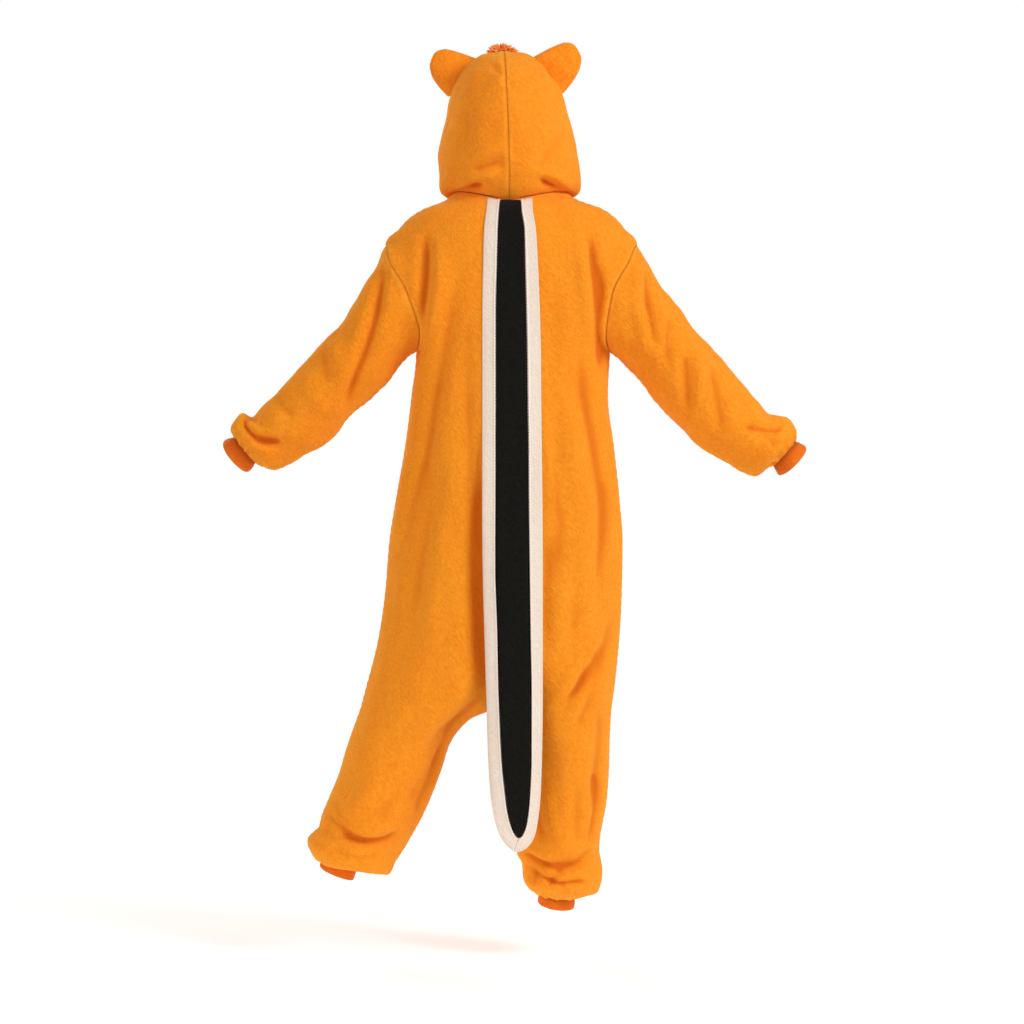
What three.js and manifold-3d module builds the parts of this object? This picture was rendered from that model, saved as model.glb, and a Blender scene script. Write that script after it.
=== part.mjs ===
// A hooded chipmunk onesie of orange fleece, hollow, in the shape that it takes when it is worn.
// The front faces -Y, the back +Y, and +X is the wearer's left. The origin lies between the
// shoulders, at the height where the neck seam crosses the shoulder line.
import * as THREE from 'three';
import { mergeVertices } from 'three/addons/utils/BufferGeometryUtils.js';
import Module from 'manifold-3d';

const wasm = await Module();
wasm.setup();

// Driving sizes, in millimetres
const fleece = 2.4; // thickness of the cloth
const seamGap = 0.3; // between two pieces that are sewn together
const panelColumns = 9; // steps across a panel, from its side seam to its middle seam
const armholeSteps = 9; // steps down half an armhole
const wristRadius = 31.5;
const wristFlare = 36.5;
const ankleRadius = 32.5;
const ankleFlare = 33.5;
const cuffShown = 20;
const cuffHidden = 24;
const cuffSides = 20;
const bandWidth = 30;
const buttonRadius = 9;
const buttonHeights = [-112, -240, -368, -496, -624];

const BACK = 1;
const FRONT = -1;
const LEFT = 1;
const RIGHT = -1;

// A table is a line of column names and a row for each section.
function table(names, rows) {
  const columns = names.split(' ');
  return rows.map((row) => Object.fromEntries(columns.map((name, i) => [name, row[i]])));
}

// A column of a table as a smooth function of the row number, with no swing past its values.
function track(values) {
  const last = values.length - 1;
  const step = (i) => {
    const k = Math.min(Math.max(i, 0), last - 1);
    return values[k + 1] - values[k];
  };
  const slope = (i) => {
    const [before, after] = [step(i - 1), step(i)];
    return before * after > 0 ? (2 * before * after) / (before + after) : 0;
  };
  return (row) => {
    const i = Math.min(Math.max(Math.floor(row), 0), last - 1);
    const t = row - i;
    const [rise, out, into] = [step(i), slope(i), slope(i + 1)];
    return values[i] + t * (out + t * (3 * rise - 2 * out - into + t * (out + into - 2 * rise)));
  };
}

function tracks(rows) {
  return Object.fromEntries(Object.keys(rows[0]).map((name) => [name, track(rows.map((row) => row[name]))]));
}

const mix = (a, b, t) => a + (b - a) * t;
const clamp01 = (t) => Math.min(Math.max(t, 0), 1);
const smooth = (t) => clamp01(t) ** 2 * (3 - 2 * clamp01(t));
const steps = (from, to, count) => Array.from({ length: count + 1 }, (_, i) => mix(from, to, i / count));
const vec = (x, y, z) => new THREE.Vector3(x, y, z);

// The trunk, a row for each level from the neck seam to the crotch: the height and the half
// outline at the side seams, then the height and depth of the middle seams.
const trunk = table('z left right middle backZ back frontZ front', [
  [30, 103, -93, 5, 14, 62, -50, -80],
  [13, 123, -122, 5, -4, 80, -72, -95],
  [-4, 165, -168, 4, -28, 92, -100, -105],
  [-22, 192, -193, 4, -52, 99, -125, -110],
  [-41, 209, -209, 3, -74, 103, -148, -114],
  [-70, 233, -231, 3, -96, 106, -170, -117],
  [-263, 176, -181, 1, -290, 112, -300, -126],
  [-350, 185, -177, 0, -368, 117, -372, -129],
  [-440, 197, -187, 0, -450, 124, -452, -130],
  [-530, 212, -197, 0, -535, 131, -535, -131],
  [-620, 226, -204, -1, -620, 138, -620, -132],
  [-710, 234, -202, -2, -705, 141, -705, -132],
  [-800, 247, -197, -3, -790, 139, -790, -129],
  [-892, 270, -188, 0, -916, 127, -916, -121],
]);
const UNDERARM = 6;
const SHOULDER = 5;
const SEAT = 12; // here the middle seam starts to curve under
const CROTCH = 13;

// The legs, a row for each level below the crotch: outer and inner edge, side seam's y, depths,
// and how much lower the back of the section is than its front.
const leftLeg = table('outX outZ inX inZ seamY back front dip', [
  [270, -892, 0, -916, 0, 127, -121, 0],
  [279, -925, 68, -938, 0, 118, -115, 0],
  [292, -960, 114, -988, -2, 108, -109, 0],
  [307, -1003, 131, -1036, -5, 99, -104, 0],
  [320, -1047, 150, -1086, -8, 91, -101, 0],
  [338, -1091, 170, -1132, -12, 82, -100, 0],
  [352, -1126, 187, -1163, -15, 74, -98, 0],
  [357, -1146, 199, -1184, -17, 65, -93, 0],
  [379, -1172, 216, -1210, -19, 72, -103, 0],
  [363, -1205, 231, -1234, -20, 50, -86, 0],
]);
const rightLeg = table('outX outZ inX inZ seamY back front dip', [
  [-188, -892, 0, -916, 0, 127, -121, 0],
  [-183, -929, -5, -950, 0, 117, -114, 0],
  [-180, -980, -8, -1000, 0, 106, -106, 0],
  [-178, -1040, -10, -1054, 0, 96, -98, 0],
  [-174, -1095, -11, -1106, -1, 88, -92, 0],
  [-167, -1136, -11, -1154, -2, 83, -88, 2],
  [-162, -1166, -9, -1190, -3, 78, -84, 4],
  [-161, -1186, -19, -1213, -4, 68, -78, 5],
  [-167, -1227, -21, -1239, -5, 72, -84, 6],
  [-157, -1265, -34, -1258, -5, 50, -62, 7],
]);

// A cuff: where the cloth ends on it, the way towards its outer side, how its back hangs lower
// than its front, in degrees, and how much further its rim reaches at the back, in mm.
const cuffs = {
  wrist_cuff_left: { at: [499, -50, -446], up: [0.617, 0.787], tilt: 0, reach: 11, side: LEFT },
  wrist_cuff_right: { at: [-509, -50, -453], up: [-0.663, 0.749], tilt: 0, reach: 9, side: RIGHT },
  ankle_cuff_left: { at: [318, -20, -1213], up: [0.921, 0.39], tilt: 0, reach: 4, side: LEFT },
  ankle_cuff_right: { at: [-84, -5, -1269], up: [-0.993, -0.12], tilt: 12, reach: 2, side: RIGHT },
};

// The three directions of a cuff: up across it, back across it and out along it.
function cuffFrame({ at, up, tilt, side }) {
  const across = vec(up[0], 0, up[1]).normalize();
  const back = vec(0, Math.cos(tilt * THREE.MathUtils.DEG2RAD), -Math.sin(tilt * THREE.MathUtils.DEG2RAD));
  const out = across.clone().cross(back).multiplyScalar(-side).normalize();
  return { at: vec(...at), across, back, out: out.z > 0 ? out.negate() : out };
}

// The cloth's last ring stands on the cuff, just outside it, with as many sides as the tube has.
const ringRadius = (radius, sides) => (radius + seamGap) / Math.cos(Math.PI / sides);

function legTable(rows, cuff) {
  const { at, across, back } = cuffFrame(cuff);
  const radius = ringRadius(ankleRadius, panelColumns * 2);
  const outer = at.clone().addScaledVector(across, radius);
  const inner = at.clone().addScaledVector(across, -radius);
  const deep = radius * back.y;
  return [...rows, {
    outX: outer.x, outZ: outer.z, inX: inner.x, inZ: inner.z,
    seamY: at.y, back: at.y + deep, front: at.y - deep, dip: -radius * back.z,
  }];
}

const legs = {
  [LEFT]: legTable(leftLeg, cuffs.ankle_cuff_left),
  [RIGHT]: legTable(rightLeg, cuffs.ankle_cuff_right),
};
const ANKLE = CROTCH + leftLeg.length;

// Half an armhole, from the shoulder point to the underarm, at even angles round it.
const armhole = { middle: -166.5, halfHeight: 96.5, halfDepth: 75 };
const armholeX = {
  [LEFT]: track([233, 226, 190, 169, 176]),
  [RIGHT]: track([-231, -216, -182, -172, -181]),
};

function armholePoint(side, angle) {
  const turn = Math.abs(angle) / Math.PI;
  return vec(
    armholeX[side](turn * 4),
    armhole.halfDepth * Math.sin(angle),
    armhole.middle + armhole.halfHeight * Math.cos(angle),
  );
}

// One side of the body as smooth functions of the level.
function bodyTracks(side) {
  const trunkOf = tracks(trunk);
  const legOf = tracks(legs[side]);
  const joined = (upper, lower) => track([...trunk.map((row) => row[upper]),
    ...legs[side].slice(1).map((row) => row[lower])]);
  return {
    outX: joined(side === LEFT ? 'left' : 'right', 'outX'),
    outZ: joined('z', 'outZ'),
    [BACK]: joined('back', 'back'),
    [FRONT]: joined('front', 'front'),
    middle: trunkOf.middle,
    middleZ: { [BACK]: trunkOf.backZ, [FRONT]: trunkOf.frontZ },
    leg: legOf,
  };
}
const body = { [LEFT]: bodyTracks(LEFT), [RIGHT]: bodyTracks(RIGHT) };

// Where a level's row of cloth ends: on the middle seam, on its curve under the crotch, or on
// the inner leg seam. The curve leaves the seat at the seam's own pace and ends level.
const seatPace = 0.73;
function rowEnd(side, face, level) {
  const of = body[side];
  if (level <= SEAT) {
    return { x: of.middle(level), z: of.middleZ[face](level), turn: Math.PI / 2 };
  }
  if (level < CROTCH) {
    const u = level - SEAT;
    const under = (Math.PI / 2) * smooth(u);
    const drop = Math.sin(under) + seatPace * u * (1 - u) ** 3;
    const x = mix(of.middle(SEAT), of.leg.inX(0), u);
    return { x, z: mix(of.middleZ[face](SEAT), of.leg.inZ(0), drop), turn: Math.PI / 2 + under };
  }
  return { x: of.leg.inX(level - CROTCH), z: of.leg.inZ(level - CROTCH), turn: Math.PI };
}

// A point of the body's smooth form: part of an ellipse from the side seam (across = 0), or from
// the armhole, round to where the row ends (across = 1).
function bodyPoint(side, face, level, across) {
  const of = body[side];
  const depth = of[face](level);
  const end = rowEnd(side, face, level);
  const inLeg = Math.max(level - CROTCH, 0);
  const seamY = of.leg.seamY(inLeg);
  let start = vec(of.outX(level), seamY, of.outZ(level));
  let from = 0;
  if (level > SHOULDER && level < UNDERARM) {
    start = armholePoint(side, face * Math.PI * (level - SHOULDER));
    from = Math.asin(start.y / depth);
  }
  const turn = mix(from, end.turn, across);
  const share = (Math.cos(from) - Math.cos(turn)) / (Math.cos(from) - Math.cos(end.turn));
  return vec(
    mix(start.x, end.x, share),
    mix(seamY, depth, Math.sin(turn)),
    mix(start.z, end.z, share) - face * of.leg.dip(inLeg) * Math.sin(turn),
  );
}

// The largest folds, each a soft ridge (height above 0) or trough along a line of x,z points.
const fold = (width, height, ...line) => ({ width, height, line });
const backFolds = [
  fold(26, -6, [156, -75], [160, -152], [166, -256]),
  fold(24, -8, [100, -115], [118, -213], [138, -331], [160, -440], [189, -553], [205, -640]),
  fold(26, -4, [152, -503], [163, -642], [178, -780]),
  fold(28, 5, [110, -450], [125, -580], [135, -700]),
  fold(26, -6, [-146, -75], [-150, -150], [-160, -255]),
  fold(30, 5, [-100, -133], [-102, -380], [-118, -620]),
  fold(26, -5, [-140, -256], [-142, -503], [-164, -600]),
  fold(26, 5, [-139, -818], [-104, -900], [-66, -965]),
  fold(26, -5, [58, -890], [124, -935], [190, -985]),
];
const legFolds = [
  fold(24, 4, [200, -1025], [250, -1080], [285, -1130]),
  fold(22, 4, [-70, -1060], [-82, -1130], [-96, -1180]),
];
const frontFolds = [
  fold(26, -6, [150, -85], [156, -165], [166, -262]),
  fold(26, -5, [120, -150], [140, -290], [150, -430]),
  fold(30, 5, [95, -200], [110, -380], [125, -560]),
  fold(26, -6, [-145, -85], [-150, -160], [-165, -262]),
  fold(28, -5, [-110, -170], [-130, -330], [-140, -520]),
  fold(30, 5, [-150, -480], [-130, -650], [-110, -780]),
  fold(28, -5, [60, -860], [120, -915], [190, -960]),
  ...legFolds,
];
const sleeveFolds = [
  fold(24, -7, [239, -92], [247, -160], [250, -205], [270, -262], [294, -330]),
  fold(26, -5, [350, -262], [342, -318], [330, -360]),
  fold(26, -4, [429, -345], [400, -395], [375, -430]),
  fold(26, -6, [-248, -110], [-252, -200], [-252, -285]),
  fold(24, -5, [-324, -290], [-330, -345], [-326, -385]),
  fold(24, -5, [-386, -345], [-392, -390], [-396, -435]),
];

function reach(x, z, [ax, az], [bx, bz]) {
  const [dx, dz] = [bx - ax, bz - az];
  const t = clamp01(((x - ax) * dx + (z - az) * dz) / (dx * dx + dz * dz));
  return Math.hypot(x - ax - t * dx, z - az - t * dz);
}

function creased(point, folds) {
  let height = 0;
  for (const { width, height: top, line } of folds) {
    let near = Infinity;
    for (let i = 1; i < line.length; i += 1) {
      near = Math.min(near, reach(point.x, point.z, line[i - 1], line[i]));
    }
    height += top * Math.exp(-((near / width) ** 2));
  }
  return height;
}

// The normals of a grid of points, pointing away from the cloth's inner side.
function gridNormals(grid, closed, outward) {
  const last = grid.length - 1;
  const columns = grid[0].length;
  const column = (j) => (closed ? (j + columns) % columns : Math.min(Math.max(j, 0), columns - 1));
  return grid.map((row, i) => row.map((point, j) => {
    const along = grid[Math.min(i + 1, last)][j].clone().sub(grid[Math.max(i - 1, 0)][j]);
    const over = row[column(j + 1)].clone().sub(row[column(j - 1)]);
    return along.cross(over).normalize().multiplyScalar(outward);
  }));
}

// A closed body from an outer and an inner grid of points. A closed grid is a tube.
function slab(outer, inner, closed = false) {
  const [rows, columns] = [outer.length, outer[0].length];
  const size = rows * columns;
  const positions = [...outer.flat(), ...inner.flat()].flatMap((p) => [p.x, p.y, p.z]);
  const id = (i, j) => i * columns + (j % columns);
  const corner = (i, j) => outer[i][j % columns];
  const faces = [];
  const wall = (p, q) => faces.push(q, p, p + size, q, p + size, q + size);
  const bands = closed ? columns : columns - 1;
  for (let i = 0; i < rows - 1; i += 1) {
    for (let j = 0; j < bands; j += 1) {
      const [a, b, c, d] = [id(i, j), id(i, j + 1), id(i + 1, j + 1), id(i + 1, j)];
      const [p, q, r, s] = outer[i][j].distanceTo(corner(i + 1, j + 1))
        <= corner(i, j + 1).distanceTo(corner(i + 1, j)) ? [a, b, c, d] : [b, c, d, a];
      faces.push(p, q, r, p, r, s);
      faces.push(p + size, r + size, q + size, p + size, s + size, r + size);
    }
    if (!closed) {
      wall(id(i, columns - 1), id(i + 1, columns - 1));
      wall(id(i + 1, 0), id(i, 0));
    }
  }
  for (let j = 0; j < bands; j += 1) {
    wall(id(0, j), id(0, j + 1));
    wall(id(rows - 1, j + 1), id(rows - 1, j));
  }
  return facingOut(positions, faces);
}

function facingOut(positions, faces) {
  const corner = (i) => vec(...positions.slice(faces[i] * 3, faces[i] * 3 + 3));
  let volume = 0;
  for (let i = 0; i < faces.length; i += 3) {
    volume += corner(i).dot(corner(i + 1).cross(corner(i + 2)));
  }
  const geometry = new THREE.BufferGeometry();
  geometry.setAttribute('position', new THREE.Float32BufferAttribute(positions, 3));
  geometry.setIndex(volume > 0 ? faces : faces.reverse());
  geometry.computeVertexNormals();
  return geometry;
}

// An edge of a grid drawn in by half the seam's gap.
function drawIn(grid, edges) {
  const last = grid.length - 1;
  const end = grid[0].length - 1;
  const pull = (point, towards) => {
    const way = towards.clone().sub(point);
    point.addScaledVector(way.normalize(), seamGap / 2 + 0.05);
  };
  if (edges.includes('first')) grid[0].forEach((point, j) => pull(point, grid[1][j]));
  if (edges.includes('last')) grid[last].forEach((point, j) => pull(point, grid[last - 1][j]));
  if (edges.includes('start')) grid.forEach((row) => pull(row[0], row[1]));
  if (edges.includes('end')) grid.forEach((row) => pull(row[end], row[end - 1]));
  return grid;
}

const offset = (grid, normals, distance) => grid.map((row, i) => row.map(
  (point, j) => point.clone().addScaledVector(normals[i][j], distance),
));

// The levels of the body's rows of points.
const levels = [
  ...steps(0, SHOULDER - 1, SHOULDER - 1),
  ...steps(SHOULDER, UNDERARM, armholeSteps),
  ...steps(UNDERARM, SEAT, 10).slice(1),
  ...steps(SEAT, CROTCH, 5).slice(1),
  ...steps(CROTCH, ANKLE, ANKLE - CROTCH).slice(1),
];
const across = steps(0, 1, panelColumns);
const stripeHalf = 62; // the cloth stays smooth under the stripe and the button band

// A body panel's outer points, with its folds pressed in. Its seams and edges stay in place.
function panelGrid(side, face) {
  const grid = levels.map((level) => across.map((t) => bodyPoint(side, face, level, t)));
  const normals = gridNormals(grid, false, side * face);
  const folds = face === BACK ? [...backFolds, ...legFolds] : frontFolds;
  return grid.map((row, i) => row.map((point, j) => {
    const edge = j === 0 || j === panelColumns || i === 0 || levels[i] > ANKLE - 1.5;
    const facing = clamp01(normals[i][j].y * face * 1.4);
    const clear = mix(smooth((Math.abs(point.x) - stripeHalf) / 30), 1, smooth(levels[i] - SEAT));
    const height = edge ? 0 : creased(point, folds) * facing * clear;
    return point.clone().addScaledVector(normals[i][j], height);
  }));
}

// At a seam the wall's thickness lies in the seam's own plane, so that two walls never cross.
function seamNormals(normals, side, face, grid) {
  const { out } = cuffFrame(side === LEFT ? cuffs.ankle_cuff_left : cuffs.ankle_cuff_right);
  return normals.map((row, i) => row.map((normal, j) => {
    const level = levels[i];
    const n = normal.clone();
    if (level === 0) {
      n.set(grid[i][j].x - trunk[0].middle, grid[i][j].y, 0);
    }
    if (j === 0) {
      n.y = 0;
      if (level > SHOULDER && level < UNDERARM) {
        const angle = face * Math.PI * (level - SHOULDER);
        n.set(0, Math.sin(angle) / armhole.halfDepth, Math.cos(angle) / armhole.halfHeight);
      } else if (level === SHOULDER || level === UNDERARM) {
        n.set(0, 0, level === SHOULDER ? 1 : -1);
      }
    }
    if (j === panelColumns) {
      if (level < CROTCH) n.x = 0;
      else if (level === CROTCH) n.set(0, 0, -1);
      else n.y = 0;
    }
    if (i === levels.length - 1) n.copy(out);
    return n.normalize();
  }));
}

const panelGrids = {};
for (const side of [LEFT, RIGHT]) {
  for (const face of [BACK, FRONT]) {
    panelGrids[`${side}${face}`] = panelGrid(side, face);
  }
}

function bodyPanel(side, face) {
  const grid = panelGrids[`${side}${face}`].map((row) => row.map((point) => point.clone()));
  drawIn(grid, ['first', 'start', 'end']);
  const normals = seamNormals(gridNormals(grid, false, side * face), side, face, grid);
  return slab(grid, offset(grid, normals, -fleece));
}

// The sleeves, a row for each section from the armhole to the cuff: its highest and lowest
// point, the y of its middle and half its depth.
const leftSleeve = table('topX topZ lowX lowZ y deep', [
  [233, -70, 176, -263, 0, 75],
  [254, -109, 188, -269, -1, 76],
  [278, -152, 201, -283, -4, 75],
  [306, -198, 222, -309, -8, 73],
  [349, -247, 251, -341, -14, 71],
  [395, -295, 293, -375, -22, 68],
  [432, -335, 328, -413, -30, 65],
  [466, -368, 366, -447, -38, 62],
  [485, -386, 407, -465, -43, 56],
  [504, -379, 448, -481, -47, 61],
  [522, -404, 471, -474, -50, 46],
]);
const rightSleeve = table('topX topZ lowX lowZ y deep', [
  [-231, -70, -181, -263, 0, 75],
  [-252, -107, -194, -274, -1, 76],
  [-275, -142, -211, -294, -4, 75],
  [-304, -176, -234, -316, -8, 73],
  [-343, -228, -271, -361, -14, 71],
  [-383, -271, -310, -403, -22, 68],
  [-421, -317, -350, -439, -30, 65],
  [-455, -352, -391, -467, -38, 62],
  [-483, -380, -429, -485, -43, 56],
  [-511, -385, -457, -492, -47, 61],
  [-532, -412, -482, -477, -50, 46],
]);

function sleeve(side) {
  const cuff = cuffFrame(side === LEFT ? cuffs.wrist_cuff_left : cuffs.wrist_cuff_right);
  const sides = armholeSteps * 2;
  const radius = ringRadius(wristRadius, sides);
  const top = cuff.at.clone().addScaledVector(cuff.across, radius);
  const low = cuff.at.clone().addScaledVector(cuff.across, -radius);
  const rows = [...(side === LEFT ? leftSleeve : rightSleeve), {
    topX: top.x, topZ: top.z, lowX: low.x, lowZ: low.z, y: cuff.at.y, deep: radius,
  }];
  const of = tracks(rows);
  const section = (row, angle) => vec(
    mix(of.lowX(row), of.topX(row), (1 + Math.cos(angle)) / 2),
    of.y(row) + of.deep(row) * Math.sin(angle),
    mix(of.lowZ(row), of.topZ(row), (1 + Math.cos(angle)) / 2),
  );
  const angles = Array.from({ length: sides }, (_, i) => (i < armholeSteps
    ? Math.PI * (i / armholeSteps) : Math.PI * (i / armholeSteps - 2)));
  const stations = [0, 0.7, 1.5, 2.4, 3.3, 4.2, 5.1, 6, 6.8, 7.5, 8, 8.5, 9, 9.5, 10, 11];
  const grid = stations.map((row) => angles.map((angle) => {
    const bend = armholePoint(side, angle).sub(section(0, angle));
    return section(row, angle).addScaledVector(bend, (1 - clamp01(row / 3)) ** 2);
  }));
  const smoothNormals = gridNormals(grid, true, side);
  grid.forEach((row, i) => row.forEach((point, j) => {
    if (stations[i] === 0 || stations[i] > 8) return;
    const normal = smoothNormals[i][j];
    point.addScaledVector(normal, creased(point, sleeveFolds) * Math.abs(normal.y));
  }));
  drawIn(grid, ['first']);
  const normals = gridNormals(grid, true, side);
  angles.forEach((angle, j) => {
    normals[0][j].set(0, Math.sin(angle) / armhole.halfDepth, Math.cos(angle) / armhole.halfHeight);
    normals[0][j].normalize();
    normals[stations.length - 1][j].copy(cuff.out);
  });
  return slab(grid, offset(grid, normals, -fleece), true);
}

// A cuff is a plain knitted tube, a little wider at its folded rim.
function cuffTube(name) {
  const { at, across: up, back, out } = cuffFrame(cuffs[name]);
  const wrist = name.startsWith('wrist');
  const [near, far] = wrist ? [wristRadius, wristFlare] : [ankleRadius, ankleFlare];
  const stations = [
    { along: -cuffHidden, radius: near, wall: fleece },
    { along: cuffShown * 0.3, radius: near, wall: fleece },
    { along: cuffShown - 2, radius: far, wall: fleece + 0.8 },
    { along: cuffShown, radius: far - 1, wall: fleece - 0.4 },
  ];
  const ring = ({ along, radius }, inset) => Array.from({ length: cuffSides }, (_, i) => {
    const angle = (i / cuffSides) * Math.PI * 2;
    const longer = cuffs[name].reach * Math.sin(angle) * clamp01(along / cuffShown);
    return at.clone().addScaledVector(out, along + longer)
      .addScaledVector(up, (radius - inset) * Math.cos(angle))
      .addScaledVector(back, (radius - inset) * Math.sin(angle));
  });
  return slab(stations.map((s) => ring(s, 0)), stations.map((s) => ring(s, s.wall)), true);
}

// The hood, a row for each section from the neck seam up and over to the face opening: the
// place of its widest point, its place on the centre seam, half its width, where its front edge
// lies round the section, and how deep its front is beside its back.
const hood = table('sideY sideZ seamY seamZ half edge front', [
  [-9, -18, 62, 14, 98, -90, 1],
  [-20, 10, 88, 34, 118, -75, 0.85],
  [-35, 42, 106, 62, 130, -52, 0.8],
  [-50, 82, 118, 100, 131, -34, 0.8],
  [-60, 122, 122, 143, 127, -24, 0.8],
  [-62, 165, 109, 200, 118, -21, 0.85],
  [-66, 203, 68, 258, 106, -19, 1],
  [-82, 233, -4, 290, 90, -11, 1.2],
  [-100, 254, -96, 288, 62, 2, 1],
]);
const hoodOf = tracks(hood);
const hoodLean = (z) => mix(5, 15, clamp01(z / 290) ** 2); // the centre seam leans to the left
const neckBlend = 2; // rows over which the hood leaves the shape of the neck seam
const hoodLift = 0.6; // the hood's lower edge stands this far above the neck seam

function neckPoint(side, turn) {
  const face = turn < 0 ? FRONT : BACK;
  return bodyPoint(side, face, 0, Math.abs(turn) / (Math.PI / 2));
}

function hoodSection(side, row, turn) {
  const depth = Math.sin(turn) * (turn < 0 ? hoodOf.front(row) : 1);
  const z = mix(hoodOf.sideZ(row), hoodOf.seamZ(row), depth);
  return vec(
    hoodLean(z) + side * hoodOf.half(row) * Math.cos(turn),
    mix(hoodOf.sideY(row), hoodOf.seamY(row), depth),
    z,
  );
}

function hoodPoint(side, row, share) {
  const turn = mix(hoodOf.edge(row) * THREE.MathUtils.DEG2RAD, Math.PI / 2, share);
  const point = hoodSection(side, row, turn);
  const bend = neckPoint(side, turn).sub(hoodSection(side, 0, turn));
  return point.addScaledVector(bend, (1 - clamp01(row / neckBlend)) ** 1.5);
}

const hoodFolds = [
  fold(16, -6, [96, 26], [80, 40], [66, 46]),
  fold(22, -5, [52, 75], [46, 105]),
  fold(18, 4, [-62, 165], [-36, 120], [-14, 78]),
  fold(16, -6, [-52, 52], [-76, 40], [-92, 26]),
];
const hoodRows = [0, 0.4, 0.8, 1.3, 2, 2.8, 3.6, 4.4, 5.1, 5.8, 6.5, 7.2, 8];

function hoodHalf(side) {
  const shares = steps(0, 1, panelColumns * 2);
  const grid = hoodRows.map((row) => shares.map((share) => hoodPoint(side, row, share)));
  const smoothNormals = gridNormals(grid, false, -side);
  grid.forEach((row, i) => row.forEach((point, j) => {
    if (i < 2 || j === 0 || j === row.length - 1) return;
    const normal = smoothNormals[i][j];
    point.addScaledVector(normal, creased(point, hoodFolds) * clamp01(normal.y));
  }));
  drawIn(grid, ['end']);
  grid[0].forEach((point) => point.setZ(point.z + hoodLift));
  const normals = gridNormals(grid, false, -side);
  normals.forEach((row, i) => {
    const end = row.length - 1;
    row[end].x = 0;
    row[end].normalize();
    if (i > 0) return;
    row.forEach((normal, j) => {
      normal.set(grid[0][j].x - trunk[0].middle, grid[0][j].y, 0).normalize();
      if (j === end) normal.set(0, 1, 0);
    });
  });
  return slab(grid, offset(grid, normals, -fleece));
}

// The point of the hood at a given y and a given angle round it, seen from behind.
function onHood(side, y, angle) {
  const goal = (row, share) => {
    const p = hoodPoint(side, row, share);
    return [p.y - y, 100 * (Math.atan2(p.z - 150, Math.abs(p.x - hoodLean(p.z))) - angle)];
  };
  let [row, share] = [6.3, 0.4];
  for (let i = 0; i < 40; i += 1) {
    const [a, b] = goal(row, share);
    const [ar, br] = goal(row + 1e-3, share).map((value, k) => (value - [a, b][k]) / 1e-3);
    const [as, bs] = goal(row, share + 1e-3).map((value, k) => (value - [a, b][k]) / 1e-3);
    const det = ar * bs - as * br;
    row -= 0.6 * ((a * bs - as * b) / det);
    share -= 0.6 * ((ar * b - a * br) / det);
  }
  return hoodPoint(side, row, share);
}

// The stuffed ears: a rim round a base that sits on the hood. Rim points are measured from the
// middle of the base, along it and away from it.
const ears = {
  ear_left: { side: LEFT, y: -52, from: 32, to: 70, rim: [[-45, 2], [-42, 22], [-35, 46], [-18, 66],
    [3, 72], [19, 64], [29, 47], [37, 26], [45, 2]] },
  ear_right: { side: RIGHT, y: -52, from: 35, to: 70, rim: [[-44.5, 2], [-42, 23], [-35, 50],
    [-17.5, 73], [6, 79], [21, 70.5], [31, 50], [38.5, 27], [45, 2]] },
};
const earThickness = 13;

function ear(name) {
  const { side, y, from, to, rim } = ears[name];
  const count = rim.length;
  const angles = steps(from, to, count - 1).map((degrees) => degrees * THREE.MathUtils.DEG2RAD);
  const ends = [angles[0], angles[count - 1]].map((angle) => onHood(side, y, angle));
  const middle = ends[0].clone().add(ends[1]).multiplyScalar(0.5);
  const along = ends[1].clone().sub(ends[0]).setY(0).normalize();
  const away = vec(side * Math.abs(along.z), 0, Math.abs(along.x));
  const sheet = (face) => steps(0, 1, 4).map((share) => rim.map(([a, b], i) => {
    const swell = Math.sin(Math.PI * (0.12 + 0.76 * (i / (count - 1)))) ** 0.5;
    const thick = (earThickness / 2) * swell * Math.sqrt(1 - 0.93 * share ** 2);
    const foot = onHood(side, y + face * thick, angles[i]);
    const lift = away.clone().multiplyScalar(seamGap + 0.5);
    const tip = middle.clone().addScaledVector(along, a).addScaledVector(away, b + 4);
    tip.y += face * thick;
    const curl = 10 * share ** 2;
    return foot.add(lift).lerp(tip, share).add(vec(0, -curl, 0));
  }));
  return slab(sheet(BACK), sheet(FRONT));
}

// The tuft of yarn on the crown: strands that fan out from a small round backing.
const tuft = { strands: 30, x: 19, y: -34, backing: 11, thick: 3, yarn: 1.7 };

function solid(geometry) {
  const bare = geometry.clone();
  bare.deleteAttribute('normal');
  bare.deleteAttribute('uv');
  const merged = mergeVertices(bare);
  return new wasm.Manifold(new wasm.Mesh({
    numProp: 3,
    vertProperties: new Float32Array(merged.attributes.position.array),
    triVerts: new Uint32Array(merged.index.array),
  }));
}

function fromSolid(body3d) {
  const { vertProperties, triVerts } = body3d.getMesh();
  const geometry = new THREE.BufferGeometry();
  geometry.setAttribute('position', new THREE.BufferAttribute(vertProperties, 3));
  geometry.setIndex(new THREE.BufferAttribute(triVerts, 1));
  geometry.computeVertexNormals();
  return geometry;
}

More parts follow.
